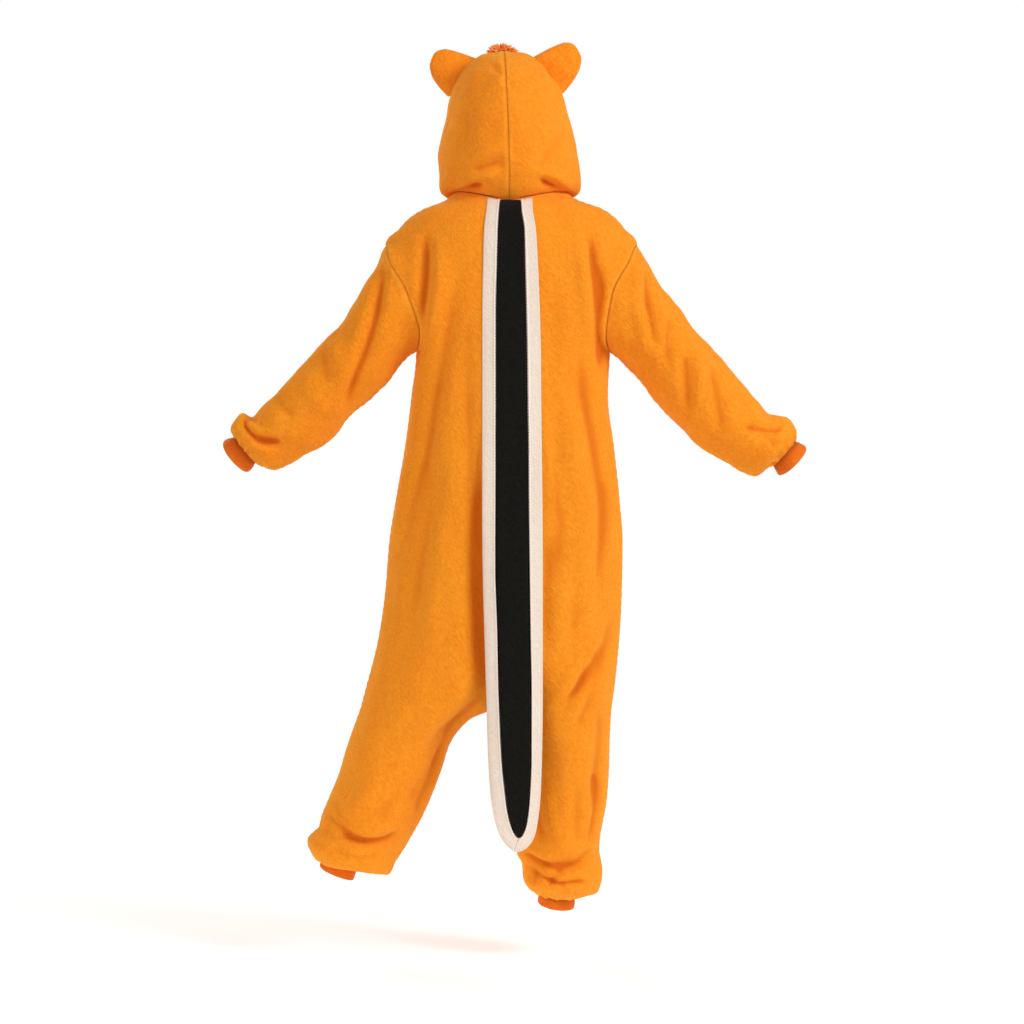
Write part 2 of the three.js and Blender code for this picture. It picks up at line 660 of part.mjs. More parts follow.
// A strand: a four-sided yarn along a curve that leans over by its own weight.
function strand(root, lean, turn, length) {
  const way = vec(Math.sin(lean) * Math.cos(turn), Math.sin(lean) * Math.sin(turn), Math.cos(lean));
  const side = vec(-Math.sin(turn), Math.cos(turn), 0);
  const other = way.clone().cross(side).normalize();
  const sections = [0, 0.6, 1].map((share) => {
    const centre = root.clone().addScaledVector(way, length * share);
    centre.z -= length * 0.22 * share ** 2 * Math.sin(lean);
    const radius = tuft.yarn * (share === 1 ? 0.6 : 1);
    return [0, 1, 2, 3].map((k) => centre.clone()
      .addScaledVector(side, radius * Math.cos((k * Math.PI) / 2))
      .addScaledVector(other, radius * Math.sin((k * Math.PI) / 2)));
  });
  const positions = sections.flat().flatMap((p) => [p.x, p.y, p.z]);
  const faces = [];
  for (let i = 0; i < 2; i += 1) {
    for (let k = 0; k < 4; k += 1) {
      const [a, b] = [i * 4 + k, i * 4 + ((k + 1) % 4)];
      faces.push(a, b, b + 4, a, b + 4, a + 4);
    }
  }
  faces.push(0, 2, 1, 0, 3, 2, 8, 9, 10, 8, 10, 11);
  return facingOut(positions, faces);
}

function tuftBody() {
  const crown = onCrown(tuft.x, tuft.y) + seamGap;
  const { backing, thick } = tuft;
  const profile = [[0, 0], [backing, 0], [backing, thick * 0.5], [backing * 0.6, thick], [0, thick * 1.2]];
  const disc = new THREE.LatheGeometry(profile.map(([r, h]) => new THREE.Vector2(r, h)), 14);
  disc.rotateX(Math.PI / 2);
  disc.translate(tuft.x, tuft.y, crown);
  let whole = solid(disc);
  for (let i = 0; i < tuft.strands; i += 1) {
    const share = (i + 0.5) / tuft.strands;
    const lean = 1.3 * Math.sqrt(share);
    const turn = i * 2.39996;
    const far = backing * 0.72 * Math.sqrt(share);
    const root = vec(tuft.x + far * Math.cos(turn), tuft.y + far * Math.sin(turn), crown + thick * 0.55);
    const length = mix(20, 26, share) * (1 + 0.1 * Math.sin(i * 5.1));
    whole = whole.add(solid(strand(root, lean, turn, length)));
  }
  return fromSolid(whole);
}

// The height of the hood's crown over a point, from its rows of the upper part.
function onCrown(x, y) {
  let best = -Infinity;
  for (const side of [LEFT, RIGHT]) {
    for (const row of steps(6, 8, 40)) {
      for (const share of steps(0.5, 1, 50)) {
        const p = hoodPoint(side, row, share);
        if (Math.hypot(p.x - x, p.y - y) < tuft.backing) best = Math.max(best, p.z);
      }
    }
  }
  return best;
}

// The stripe and the tail it runs into, a row for each level: the edges of its cream and black
// bands, the y of its body side where it hangs free, and its thickness at middle and edges.
const stripe = table('z creamLeft blackLeft blackRight creamRight y thick edge', [
  [20, 45, 21.5, -15.5, -37, 60, 2.4, 2.4],
  [-10, 47, 23.5, -16.5, -37, 84, 2.4, 2.4],
  [-50, 51, 25.5, -22, -43.5, 99, 2.4, 2.4],
  [-110, 52.5, 27, -23.5, -47, 107, 2.4, 2.4],
  [-197, 54, 29, -25.5, -50.5, 110, 2.4, 2.4],
  [-284, 54, 29, -27, -52.5, 112, 2.4, 2.4],
  [-371, 54, 29, -28, -53, 118, 3, 2.6],
  [-458, 54, 29, -29, -54, 126, 5, 4],
  [-559, 54, 29, -29.5, -55, 135.5, 10, 6],
  [-659, 53, 29, -30.5, -55.5, 142.5, 15, 8],
  [-774, 50, 25.5, -32, -55.5, 144, 18, 9],
  [-889, 46.5, 23, -34, -55.5, 144.5, 20, 9],
  [-1004, 43, 18, -34, -54, 144.5, 20, 9],
  [-1061, 39.5, 12.5, -32, -52, 144, 18, 8.5],
  [-1090, 36, 9, -30, -50, 143.5, 16, 8],
  [-1118, 30.5, 3.5, -26.5, -46.5, 143, 13, 7.5],
]);
const stripeOf = tracks(stripe);
const tail = { blackTip: [-12.6, -1147], creamTip: [-12.6, -1174], y: 143, tipThick: 7 };
const attachedTo = 8; // the body level where the stripe leaves the back and hangs as a tail

function stripeRow(z) {
  let row = 0;
  while (row < stripe.length - 2 && stripe[row + 1].z > z) row += 1;
  return row + (stripe[row].z - z) / (stripe[row].z - stripe[row + 1].z);
}

// A panel's point at a given x on one of its rows.
function onPanelRow(face, index, x) {
  const middle = panelGrids[`${LEFT}${face}`][index][panelColumns].x;
  const row = panelGrids[`${x >= middle ? LEFT : RIGHT}${face}`][index];
  let j = panelColumns - 1;
  while (j > 0 && Math.abs(row[j].x - middle) < Math.abs(x - middle)) j -= 1;
  return row[j].clone().lerp(row[j + 1], clamp01((x - row[j].x) / (row[j + 1].x - row[j].x)));
}

// The body side and the outer side of the stripe at a level, at a share from its left edge.
function stripePoints(section, x) {
  const { z, foot, tilt } = section(x);
  const row = stripeRow(z);
  const middle = (stripeOf.creamLeft(row) + stripeOf.creamRight(row)) / 2;
  const half = (stripeOf.creamLeft(row) - stripeOf.creamRight(row)) / 2;
  const round = 1 - ((x - middle) / half) ** 2;
  const thick = mix(stripeOf.edge(row), stripeOf.thick(row), Math.max(round, 0));
  return { inner: foot, outer: foot.clone().add(vec(0, thick * tilt.y, thick * tilt.z)) };
}

const lift = 0.6; // the stripe and the band lie this far off the panels' points

function attachedSection(face, index) {
  const above = onPanelRow(face, Math.max(index - 1, 0), 0);
  const below = onPanelRow(face, index + 1, 0);
  const slope = below.sub(above);
  const tilt = vec(0, -slope.z * face, slope.y * face).normalize();
  if (tilt.y * face < 0) tilt.negate();
  const section = (x) => {
    const foot = onPanelRow(face, index, x);
    return { z: foot.z, foot: foot.addScaledVector(tilt, lift), tilt };
  };
  section.ridge = panelGrids[`${LEFT}${face}`][index][panelColumns].x;
  return section;
}

function freeSection(z) {
  const row = stripeRow(z);
  const y = stripeOf.y(row);
  const section = (x) => ({ z, foot: vec(x, y, z), tilt: vec(0, 1, 0) });
  section.ridge = (stripeOf.blackLeft(row) + stripeOf.blackRight(row)) / 2;
  return section;
}

// The stripe starts a little below the neck seam, where the hood no longer covers it.
function neckSection(share) {
  const [first, second] = [attachedSection(BACK, 0), attachedSection(BACK, 1)];
  const section = (x) => {
    const [a, b] = [first(x), second(x)];
    return { z: mix(a.z, b.z, share), foot: a.foot.clone().lerp(b.foot, share), tilt: b.tilt };
  };
  section.ridge = first.ridge;
  return section;
}

const attachedRows = levels.map((level, i) => i).filter((i) => i > 0 && levels[i] <= attachedTo);
const freeLevels = [-500, -545, -600, -659, -716, -774, -832, -889, -946, -1004, -1040, -1070, -1095, -1118];
const stripeSections = [
  neckSection(0.22),
  ...attachedRows.map((i) => attachedSection(BACK, i)),
  ...freeLevels.map(freeSection),
];

// A band of the stripe between two of its edges. Extra rows carry it round the tail's tip.
function stripeBand(leftEdge, rightEdge, columns, tipRows) {
  const rows = stripeSections.map((section) => {
    const row = stripeRow(section(0).z);
    const [a, b] = [stripeOf[leftEdge](row), stripeOf[rightEdge](row)];
    const gap = seamGap / 2 + 0.02;
    const [from, to] = [
      leftEdge === 'creamLeft' ? a : a - gap,
      rightEdge === 'creamRight' ? b : b + gap,
    ];
    const places = columns === 2 ? steps(from, to, 2)
      : [from, (from + section.ridge) / 2, section.ridge, (section.ridge + to) / 2, to];
    return places.map((x) => stripePoints(section, x));
  });
  rows.push(...tipRows);
  return slab(rows.map((row) => row.map((p) => p.outer)), rows.map((row) => row.map((p) => p.inner)));
}

const tipPoint = (x, z, thick) => ({
  inner: vec(x, tail.y, z),
  outer: vec(x, tail.y + thick, z),
});

function blackBand() {
  const [x, z] = tail.blackTip;
  const tipRow = (up, half, thick) => steps(half, -half, 4).map((dx) => tipPoint(x + dx, z + up, thick));
  return stripeBand('blackLeft', 'blackRight', 4, [tipRow(12, 9, 11), tipRow(1, 2, 9)]);
}

// Each cream border narrows round the tip: one to the mitre seam, the other past it.
function creamBand(side) {
  const [bx, bz] = tail.blackTip;
  const [cx, cz] = tail.creamTip;
  const row = (outX, outZ, inX, inZ) => {
    const [outer, inner] = [tipPoint(outX, outZ, tail.tipThick - 2), tipPoint(inX, inZ, tail.tipThick + 2)];
    const between = tipPoint((outX + inX) / 2, (outZ + inZ) / 2, tail.tipThick);
    return side === LEFT ? [outer, between, inner] : [inner, between, outer];
  };
  const gap = seamGap;
  if (side === LEFT) {
    return stripeBand('creamLeft', 'blackLeft', 2, [
      row(21.5, -1148, bx + 10 + gap, bz + 11),
      row(cx + 13, cz + 9, bx + 3.5 + gap, bz - 1),
      row(cx + 9 + gap, cz + 3, bx + 3 + gap, bz - 3),
    ]);
  }
  return stripeBand('blackRight', 'creamRight', 2, [
    row(-41, -1147, bx - 10 - gap, bz + 11),
    row(cx - 15, cz + 7, bx - 3.5 - gap, bz - 1),
    row(cx - 2, cz, bx - 0.5, bz - 3),
    row(cx + 9 - gap, cz + 2.6, bx + 2.6 - gap, bz - 3.4),
  ]);
}

// The button band covers the front opening from the neck to the hip.
const bandEnd = 11;
const bandEdges = [bandWidth / 2, 0, -bandWidth / 2];

function buttonBand() {
  const sections = levels.map((level, i) => i).filter((i) => i > 0 && levels[i] <= bandEnd)
    .map((i) => attachedSection(FRONT, i));
  const [above, first] = [attachedSection(FRONT, 0), sections[0]];
  const start = (x) => ({ ...first(x), foot: above(x).foot.lerp(first(x).foot, 0.3) });
  start.ridge = above.ridge;
  const rows = [start, ...sections].map((section) => bandEdges.map((x) => {
    const { foot, tilt } = section(section.ridge + x);
    return { inner: foot, outer: foot.clone().addScaledVector(tilt, fleece) };
  }));
  return slab(rows.map((row) => row.map((p) => p.outer)), rows.map((row) => row.map((p) => p.inner)));
}

function button(z) {
  const index = levels.findIndex((level, i) => onPanelRow(FRONT, i, 0).z < z) - 1;
  const section = attachedSection(FRONT, index);
  const here = section(0).foot;
  const next = onPanelRow(FRONT, index + 1, 0);
  const share = (here.z - z) / (here.z - next.z);
  const way = next.clone().sub(onPanelRow(FRONT, index, 0)).normalize();
  const facing = vec(0, way.z, -way.y).normalize();
  const seat = onPanelRow(FRONT, index, 0).lerp(next, share).addScaledVector(facing, lift + fleece + 0.5);
  const profile = [[0, 0], [buttonRadius, 0], [buttonRadius, 2.4], [buttonRadius - 1.6, 3.2],
    [buttonRadius - 3, 2.2], [0, 2.2]];
  const disc = new THREE.LatheGeometry(profile.map(([r, h]) => new THREE.Vector2(r, h)), 12);
  disc.applyQuaternion(new THREE.Quaternion().setFromUnitVectors(vec(0, 1, 0), facing));
  disc.translate(seat.x, seat.y, seat.z);
  return disc;
}

const finish = (color, roughness) => new THREE.MeshStandardMaterial({ color, roughness, metalness: 0 });
const orangeFleece = finish('#f08f2b', 0.95);
const cuffKnit = finish('#d9661c', 0.9);
const creamFleece = finish('#e9d6c3', 0.95);
const blackFleece = finish('#1b1b18', 0.9);
const yarn = finish('#f27a35', 0.95);
const buttonResin = finish('#c66f22', 0.45);

const onesie = new THREE.Group();
function add(name, geometry, material) {
  const mesh = new THREE.Mesh(geometry, material);
  mesh.name = name;
  onesie.add(mesh);
}

for (const [side, word] of [[LEFT, 'left'], [RIGHT, 'right']]) {
  add(`back_${word}`, bodyPanel(side, BACK), orangeFleece);
  add(`front_${word}`, bodyPanel(side, FRONT), orangeFleece);
  add(`sleeve_${word}`, sleeve(side), orangeFleece);
  add(`hood_${word}`, hoodHalf(side), orangeFleece);
  add(`stripe_cream_${word}`, creamBand(side), creamFleece);
}
for (const name of Object.keys(cuffs)) {
  add(name, cuffTube(name), cuffKnit);
}
for (const name of Object.keys(ears)) {
  add(name, ear(name), orangeFleece);
}
add('stripe_black', blackBand(), blackFleece);
add('tuft', tuftBody(), yarn);
add('button_band', buttonBand(), orangeFleece);
buttonHeights.forEach((z, i) => add(`button_${i + 1}`, button(z), buttonResin));

export default onesie;
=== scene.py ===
# %% [markdown]
# A hooded chipmunk onesie of orange fleece, seen from behind as it hangs when worn. The cloth
# is cut in panels and sewn: two backs, two fronts, two sleeves and two halves of a hood, with knit
# cuffs, stuffed ears, a tuft of yarn, and a striped strip that runs down the back into a tail.
# Every shape here is a function of two numbers, worked out with numpy on a whole grid at once, in
# millimetres. Only the helper that makes a mesh turns them into Blender's metres.

# %% The frame
import math
import bmesh
import bpy
import numpy as np
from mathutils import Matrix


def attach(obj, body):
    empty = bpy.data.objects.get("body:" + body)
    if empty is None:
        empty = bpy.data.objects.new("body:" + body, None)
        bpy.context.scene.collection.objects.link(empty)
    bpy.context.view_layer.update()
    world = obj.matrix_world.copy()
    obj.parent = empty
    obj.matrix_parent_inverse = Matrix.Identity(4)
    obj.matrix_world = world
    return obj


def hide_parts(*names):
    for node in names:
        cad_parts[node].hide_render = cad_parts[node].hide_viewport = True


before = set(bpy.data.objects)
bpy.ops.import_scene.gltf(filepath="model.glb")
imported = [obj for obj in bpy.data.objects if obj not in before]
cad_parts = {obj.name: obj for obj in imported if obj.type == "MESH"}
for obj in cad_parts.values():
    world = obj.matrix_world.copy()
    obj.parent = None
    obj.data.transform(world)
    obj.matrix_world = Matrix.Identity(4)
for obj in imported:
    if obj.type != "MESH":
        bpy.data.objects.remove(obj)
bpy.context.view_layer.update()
MM = 0.001
LEFT, RIGHT = 1, -1
BACK, FRONT = 1, -1
SIDES = {LEFT: "left", RIGHT: "right"}
FACES = {BACK: "back", FRONT: "front"}

# %% [markdown]
# A garment's form is easiest to keep as a short table: one row for each section through it, one
# column for each size. A smooth curve through each column then gives that size at any height. The
# curve used here never swings past its values, however unevenly the rows are spaced.


# %% Tables and smooth tracks
def table(names, rows):
    """The columns of a table, by name."""
    return dict(zip(names.split(), np.array(rows, float).T))


def track(values):
    """A smooth function of the row number: between two values, the cubic whose slope at each is
    twice the product of the steps beside it over their sum, or 0 where they differ in sign."""
    values = np.asarray(values, float)
    step = np.diff(values)
    before, after = np.append(step[:1], step), np.append(step, step[-1:])
    same = before * after > 0
    slope = np.where(same, 2 * before * after / np.where(same, before + after, 1), 0)

    def at(row):
        row = np.asarray(row, float)
        i = np.clip(np.floor(row).astype(int), 0, len(values) - 2)
        t = row - i
        rise, out, into = step[i], slope[i], slope[i + 1]
        return values[i] + t * (out + t * (3 * rise - 2 * out - into + t * (out + into - 2 * rise)))

    return at


def tracks(of):
    """A track through each column of a table."""
    return {name: track(column) for name, column in of.items()}


def mix(a, b, t):
    return a + (b - a) * t


def smooth(t):
    """0 below 0, 1 above 1, and an S between them."""
    t = np.clip(t, 0, 1)
    return t * t * (3 - 2 * t)


def points(x, y, z):
    return np.stack(np.broadcast_arrays(x, y, z), axis=-1).astype(float)


def length(vectors):
    return np.linalg.norm(vectors, axis=-1)


def unit(vectors):
    return vectors / np.maximum(length(vectors), 1e-9)[..., None]


def run_of(steps):
    """How far a line has run at each of its points, from the lengths of its steps."""
    return np.concatenate(([0], steps.cumsum()))


def paced(dense, steps, pace):
    """The values of dense that lie a pace apart, where steps are the lengths between all of them."""
    total = run_of(steps)
    return np.interp(np.linspace(0, total[-1], int(total[-1] / pace)), total, dense)


def normals(grid, outward, closed=False):
    """The unit normals of a grid: its step along crossed with its step across."""
    along = np.gradient(grid, axis=0)
    if closed:
        over = np.roll(grid, -1, 1) - np.roll(grid, 1, 1)
    else:
        over = np.gradient(grid, axis=1)
    return unit(np.cross(along, over)) * outward


def raised(grid, height, outward, closed=False):
    """The grid with every point moved out along its normal by its height."""
    return grid + normals(grid, outward, closed) * height[..., None]


# %% [markdown]
# Cloth is never even. A sum of slow waves in scattered directions gives a soft swell that is
# smooth in space, the same on every run, and the same for two panels where they meet, because it
# depends on nothing but the place.


# %% Soft unevenness
def swell(places, wave, seed, count=7):
    """From about -1 to 1: the mean of sines along random directions, with a wave length near wave."""
    draw = np.random.default_rng(seed)
    ways = unit(draw.normal(size=(count, 3))) * (2 * math.pi / wave) * draw.uniform(0.7, 1.4, (count, 1))
    turns = draw.uniform(0, 2 * math.pi, count)
    return np.sin(places @ ways.T + turns).sum(-1) / math.sqrt(count) * 0.8


# %% [markdown]
# The main folds are listed one by one, each as a line of x,z points on the side that it shows on. A
# crease is a narrow trough that pushes the cloth up a little on either side of it. A ridge is a
# soft rounded fold. Both fade out towards their ends, as real ones do.


# %% Creases and ridges
def crease(width, depth, *line):
    return {"width": width, "height": -depth, "line": np.array(line, float)}


def ridge(width, height, *line):
    return {"width": width, "height": height, "line": np.array(line, float)}


def near_line(places, line, pieces=10):
    """The distance from each place to a smooth line, and how far along the line it lies, 0 to 1."""
    rows = np.linspace(0, len(line) - 1, pieces * (len(line) - 1) + 1)
    route = np.stack([track(line[:, k])(rows) for k in (0, 1)], -1)
    starts, ways = route[:-1], np.diff(route, axis=0)
    away = places[..., None, :] - starts
    share = np.clip((away * ways).sum(-1) / (ways * ways).sum(-1), 0, 1)
    gaps = length(away - ways * share[..., None])
    nearest = gaps.argmin(-1)
    gap = np.take_along_axis(gaps, nearest[..., None], -1)[..., 0]
    along = (nearest + np.take_along_axis(share, nearest[..., None], -1)[..., 0]) / len(starts)
    return gap, along


def fold_height(places, folds):
    """The sum of the folds. A crease is -depth * exp(-gap / width), rounded at the bottom, with a
    swell of a third of its depth beside it; a ridge is height * exp(-(gap / width) squared)."""
    total = np.zeros(places.shape[:-1])
    flat = places[..., [0, 2]]
    for fold in folds:
        width, height = fold["width"], fold["height"]
        low = fold["line"].min(0) - 6 * width
        high = fold["line"].max(0) + 6 * width
        inside = ((flat > low) & (flat < high)).all(-1)
        if not inside.any():
            continue
        gap, along = near_line(flat[inside], fold["line"])
        fade = np.clip(4 * along * (1 - along) * 1.6, 0, 1) ** 0.7
        if height < 0:
            trough = np.exp(-(np.sqrt(gap**2 + (0.7 * width) ** 2) - 0.7 * width) / width)
            beside = np.exp(-(((gap - 2.4 * width) / (1.3 * width)) ** 2))
            form = trough - 0.3 * beside
        else:
            form = np.exp(-((gap / width) ** 2))
        total[inside] += height * form * fade
    return total


# %% [markdown]
# One helper turns a grid into a mesh. It keeps two facts for the finish: a UV map in metres, so
# that the nap lies along the cloth, and an attribute of painted shade that says how deep in a fold
# or seam a point lies, where fleece is painted darker and redder because light reaches it only off
# more fleece. Below 0 the attribute is a painted highlight, on the roll beside a seam.


# %% From grids to meshes
FLEECE = 2.4
built = {}


def quads_of(rows, cols, outward, closed=False):
    """The corners of each quad of a grid, wound so that its face points outwards."""
    i, j = np.meshgrid(np.arange(rows - 1), np.arange(cols if closed else cols - 1), indexing="ij")
    k = (j + 1) % cols
    corners = [i * cols + j, (i + 1) * cols + j, (i + 1) * cols + k, i * cols + k]
    return np.stack(corners if outward > 0 else corners[::-1], -1).reshape(-1, 4)


def new_mesh(name, places, quads, uv=None, depth=None):
    mesh = bpy.data.meshes.new(name)
    mesh.vertices.add(len(places))
    mesh.vertices.foreach_set("co", (places * MM).astype(np.float32).ravel())
    mesh.loops.add(quads.size)
    mesh.loops.foreach_set("vertex_index", quads.astype(np.int32).ravel())
    mesh.polygons.add(len(quads))
    mesh.polygons.foreach_set("loop_start", np.arange(len(quads), dtype=np.int32) * quads.shape[1])
    mesh.update(calc_edges=True)
    mesh.polygons.foreach_set("use_smooth", np.ones(len(quads), bool))
    if uv is not None:
        layer = mesh.uv_layers.new(name="cloth")
        layer.data.foreach_set("uv", (uv[quads.ravel()] * MM).astype(np.float32).ravel())
    # Painted shade above 0 and painted highlight below 0, which the finishes mix into the colour.
    shade = mesh.attributes.new("painted_shade_and_highlight", "FLOAT", "POINT")
    shade.data.foreach_set("value", np.zeros(len(places)) if depth is None else depth.ravel())
    mesh.validate()
    piece = bpy.data.objects.new(f"{name}_finished", mesh)
    bpy.context.scene.collection.objects.link(piece)
    return piece


def unrolled(grid):
    """Flat coordinates of a grid: the mean distance run across it, and run along it."""
    over = run_of(length(np.diff(grid, axis=1)).mean(0))
    along = run_of(length(np.diff(grid, axis=0)).mean(1))
    v, u = np.meshgrid(along, over, indexing="ij")
    return np.stack([u, v], -1).reshape(-1, 2)


def flat_cut(grid, closed=False):
    """The cut of a piece of cloth, from its form before it is creased: width, length and area."""
    ring = np.concatenate([grid, grid[:, :1]], 1) if closed else grid
    width = length(np.diff(ring, axis=1)).sum(1).max()
    tall = length(np.diff(grid, axis=0)).sum(0).max()
    a, b, c = ring[:-1, :-1], ring[1:, :-1], ring[:-1, 1:]
    area = length(np.cross(b - a, c - a)).sum()
    return width * MM, tall * MM, area * MM * MM


def cloth(name, grid, outward, form, depth, closed=False):
    """A grid as a panel of fleece: its outer face is the grid, and Solidify adds the inner one."""
    rows, cols = grid.shape[:2]
    piece = new_mesh(name, grid.reshape(-1, 3), quads_of(rows, cols, outward, closed),
                     unrolled(grid), depth)
    shell = piece.modifiers.new("thickness", "SOLIDIFY")
    shell.thickness = FLEECE * MM
    shell.offset = -1
    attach(piece, "root")
    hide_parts(name)
    piece.data.materials.append(orange_fleece)
    cut = flat_cut(form, closed)
    built[name] = (piece, cut)
    print(name, grid.shape[:2], "cut", [round(x, 3) for x in cut])


def close_and_turn_out(piece):
    """Merges what lies in one place, fills the open ends and turns every face outwards."""
    mesh = bmesh.new()
    mesh.from_mesh(piece.data)
    bmesh.ops.remove_doubles(mesh, verts=mesh.verts, dist=1e-6)
    open_edges = [edge for edge in mesh.edges if edge.is_boundary]
    if open_edges:
        bmesh.ops.holes_fill(mesh, edges=open_edges, sides=0)
    bmesh.ops.recalc_face_normals(mesh, faces=mesh.faces)
    mesh.to_mesh(piece.data)
    mesh.free()


def closed_piece(name, places, quads, material, uv=None, depth=None, replaces=True):
    """A closed skin on the body, with its finish."""
    piece = new_mesh(name, places.reshape(-1, 3), quads, uv, depth)
    close_and_turn_out(piece)
    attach(piece, "root")
    if replaces:
        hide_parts(name)
    piece.data.materials.append(material)
    return piece


def many_tubes(count, rings, around):
    """The quads of many tubes alike, one after another."""
    quads = quads_of(rings, around, 1, True)
    return (quads[None] + np.arange(count)[:, None, None] * rings * around).reshape(-1, 4)


# %% [markdown]
# Colours and textures are maths on sockets. A small class wraps a socket, so that a sum in Python
# adds the Math nodes for it, and one method adds any other node.


# %% Shader maths
class Value:
    """A number that a node gives. + - * and power on it add Math nodes."""

    def __init__(self, finish, socket):
        self.finish = finish
        self.socket = socket

    def maths(self, operation, *values):
        node = self.finish.node("ShaderNodeMath", {"operation": operation}, dict(enumerate(values)))
        return Value(self.finish, node.outputs[0])

    def __add__(self, other):
        return self.maths("ADD", self, other)

    def __radd__(self, other):
        return self.maths("ADD", other, self)

    def __sub__(self, other):
        return self.maths("SUBTRACT", self, other)

    def __rsub__(self, other):
        return self.maths("SUBTRACT", other, self)

    def __mul__(self, other):
        return self.maths("MULTIPLY", self, other)

    def __pow__(self, other):
        return self.maths("POWER", self, other)

    def clamped(self):
        return self.maths("MINIMUM", self.maths("MAXIMUM", self, 0.0), 1.0)


class Finish:
    """A material under construction, with its one shader."""

    def __init__(self, name, roughness, sheen=0.0, sheen_tint=None, specular=0.5, scatter=0.0):
        self.material = bpy.data.materials.new(name)
        self.material.use_nodes = True
        self.tree = self.material.node_tree
        self.shader = self.tree.nodes["Principled BSDF"]
        self.shader.inputs["Roughness"].default_value = roughness
        self.shader.inputs["Sheen Weight"].default_value = sheen
        self.shader.inputs["Specular IOR Level"].default_value = specular
        self.shader.inputs["Subsurface Weight"].default_value = scatter
        self.shader.inputs["Subsurface Radius"].default_value = (1.0, 0.3, 0.08)
        self.shader.inputs["Subsurface Scale"].default_value = 0.007
        if sheen_tint:
            self.shader.inputs["Sheen Roughness"].default_value = 0.45
            self.shader.inputs["Sheen Tint"].default_value = (*sheen_tint, 1)

    def node(self, kind, settings=None, inputs=None):
        node = self.tree.nodes.new(kind)
        for name, value in (settings or {}).items():
            setattr(node, name, value)
        for name, value in (inputs or {}).items():
            self.feed(node.inputs[name], value)
        return node

    def feed(self, socket, value):
        source = value.socket if isinstance(value, Value) else value
        if isinstance(source, bpy.types.NodeSocket):
            self.tree.links.new(source, socket)
        else:
            socket.default_value = value

    def places(self, scale=(1, 1, 1), uv=False):
        """Where a point lies: object coordinates, or the cloth's own, each axis times its scale."""
        if uv:
            source = self.node("ShaderNodeUVMap", {"uv_map": "cloth"}).outputs["UV"]
        else:
            source = self.node("ShaderNodeTexCoord").outputs["Object"]
        return self.node("ShaderNodeMapping", inputs={"Vector": source, "Scale": scale}).outputs[0]

    def slanted(self, stretch):
        """Object coordinates turned 45 degrees about y and drawn out along their new z, which runs
        down to the right as seen from behind."""
        source = self.node("ShaderNodeTexCoord").outputs["Object"]
        return self.node("ShaderNodeMapping", {"vector_type": "TEXTURE"}, {
            "Vector": source, "Rotation": (0, math.radians(45), 0), "Scale": (1, 1, stretch)}).outputs[0]

    def noise(self, vector, scale, detail=2.0, roughness=0.5, distortion=0.0):
        node = self.node("ShaderNodeTexNoise", inputs={
            "Vector": vector, "Scale": scale, "Detail": detail, "Roughness": roughness,
            "Distortion": distortion})
        return Value(self, node.outputs[0])

    def attribute(self, name):
        return Value(self, self.node("ShaderNodeAttribute", {"attribute_name": name}).outputs["Fac"])

    def ramp(self, value, low, high):
        """0 below low, 1 above high, an S between."""
        node = self.node("ShaderNodeMapRange", {"interpolation_type": "SMOOTHSTEP"},
                         {"Value": value, "From Min": low, "From Max": high})
        return Value(self, node.outputs[0])

    def blend(self, factor, first, second):
        """Two colours mixed. Each is a socket or three numbers."""
        node = self.node("ShaderNodeMix", {"data_type": "RGBA"})
        self.feed(node.inputs[0], factor)
        for socket, colour in zip((node.inputs[6], node.inputs[7]), (first, second)):
            self.feed(socket, (*colour, 1) if isinstance(colour, tuple) else colour)
        return node.outputs[2]

    def bumped(self, height, strength, distance):
        node = self.node("ShaderNodeBump", inputs={
            "Height": height, "Strength": strength, "Distance": distance})
        self.feed(self.shader.inputs["Normal"], node.outputs[0])

    def coloured(self, colour):
        self.feed(self.shader.inputs["Base Color"], colour)
        return self.material


def linear(hexes):
    """A colour as a maker writes it, such as f08f2b, in the linear numbers that a shader takes."""
    channels = [int(hexes[i:i + 2], 16) / 255 for i in (0, 2, 4)]
    return tuple(c / 12.92 if c <= 0.04045 else ((c + 0.055) / 1.055) ** 2.4 for c in channels)


# %% [markdown]
# Fleece is a knit whose face is brushed up into a short nap. From a step away it shows as fine
# short streaks that lie down to the right, with broad soft patches where it was stroked the other
# way. So the colour is mixed from noises of four sizes, with painted shade, a deeper redder colour,
# mixed in down the folds and seams from the painted shade attribute, and a painted highlight on the
# roll beside a seam where that attribute is below 0. The bump comes from the three finer noises. A
# little sheen lights the edges of a form.


# %% The fleece finishes
PATCH, CLUMP, STREAK, FIBRE = 8, 150, 360, 1000 # how fine the four noises are, in waves a metre


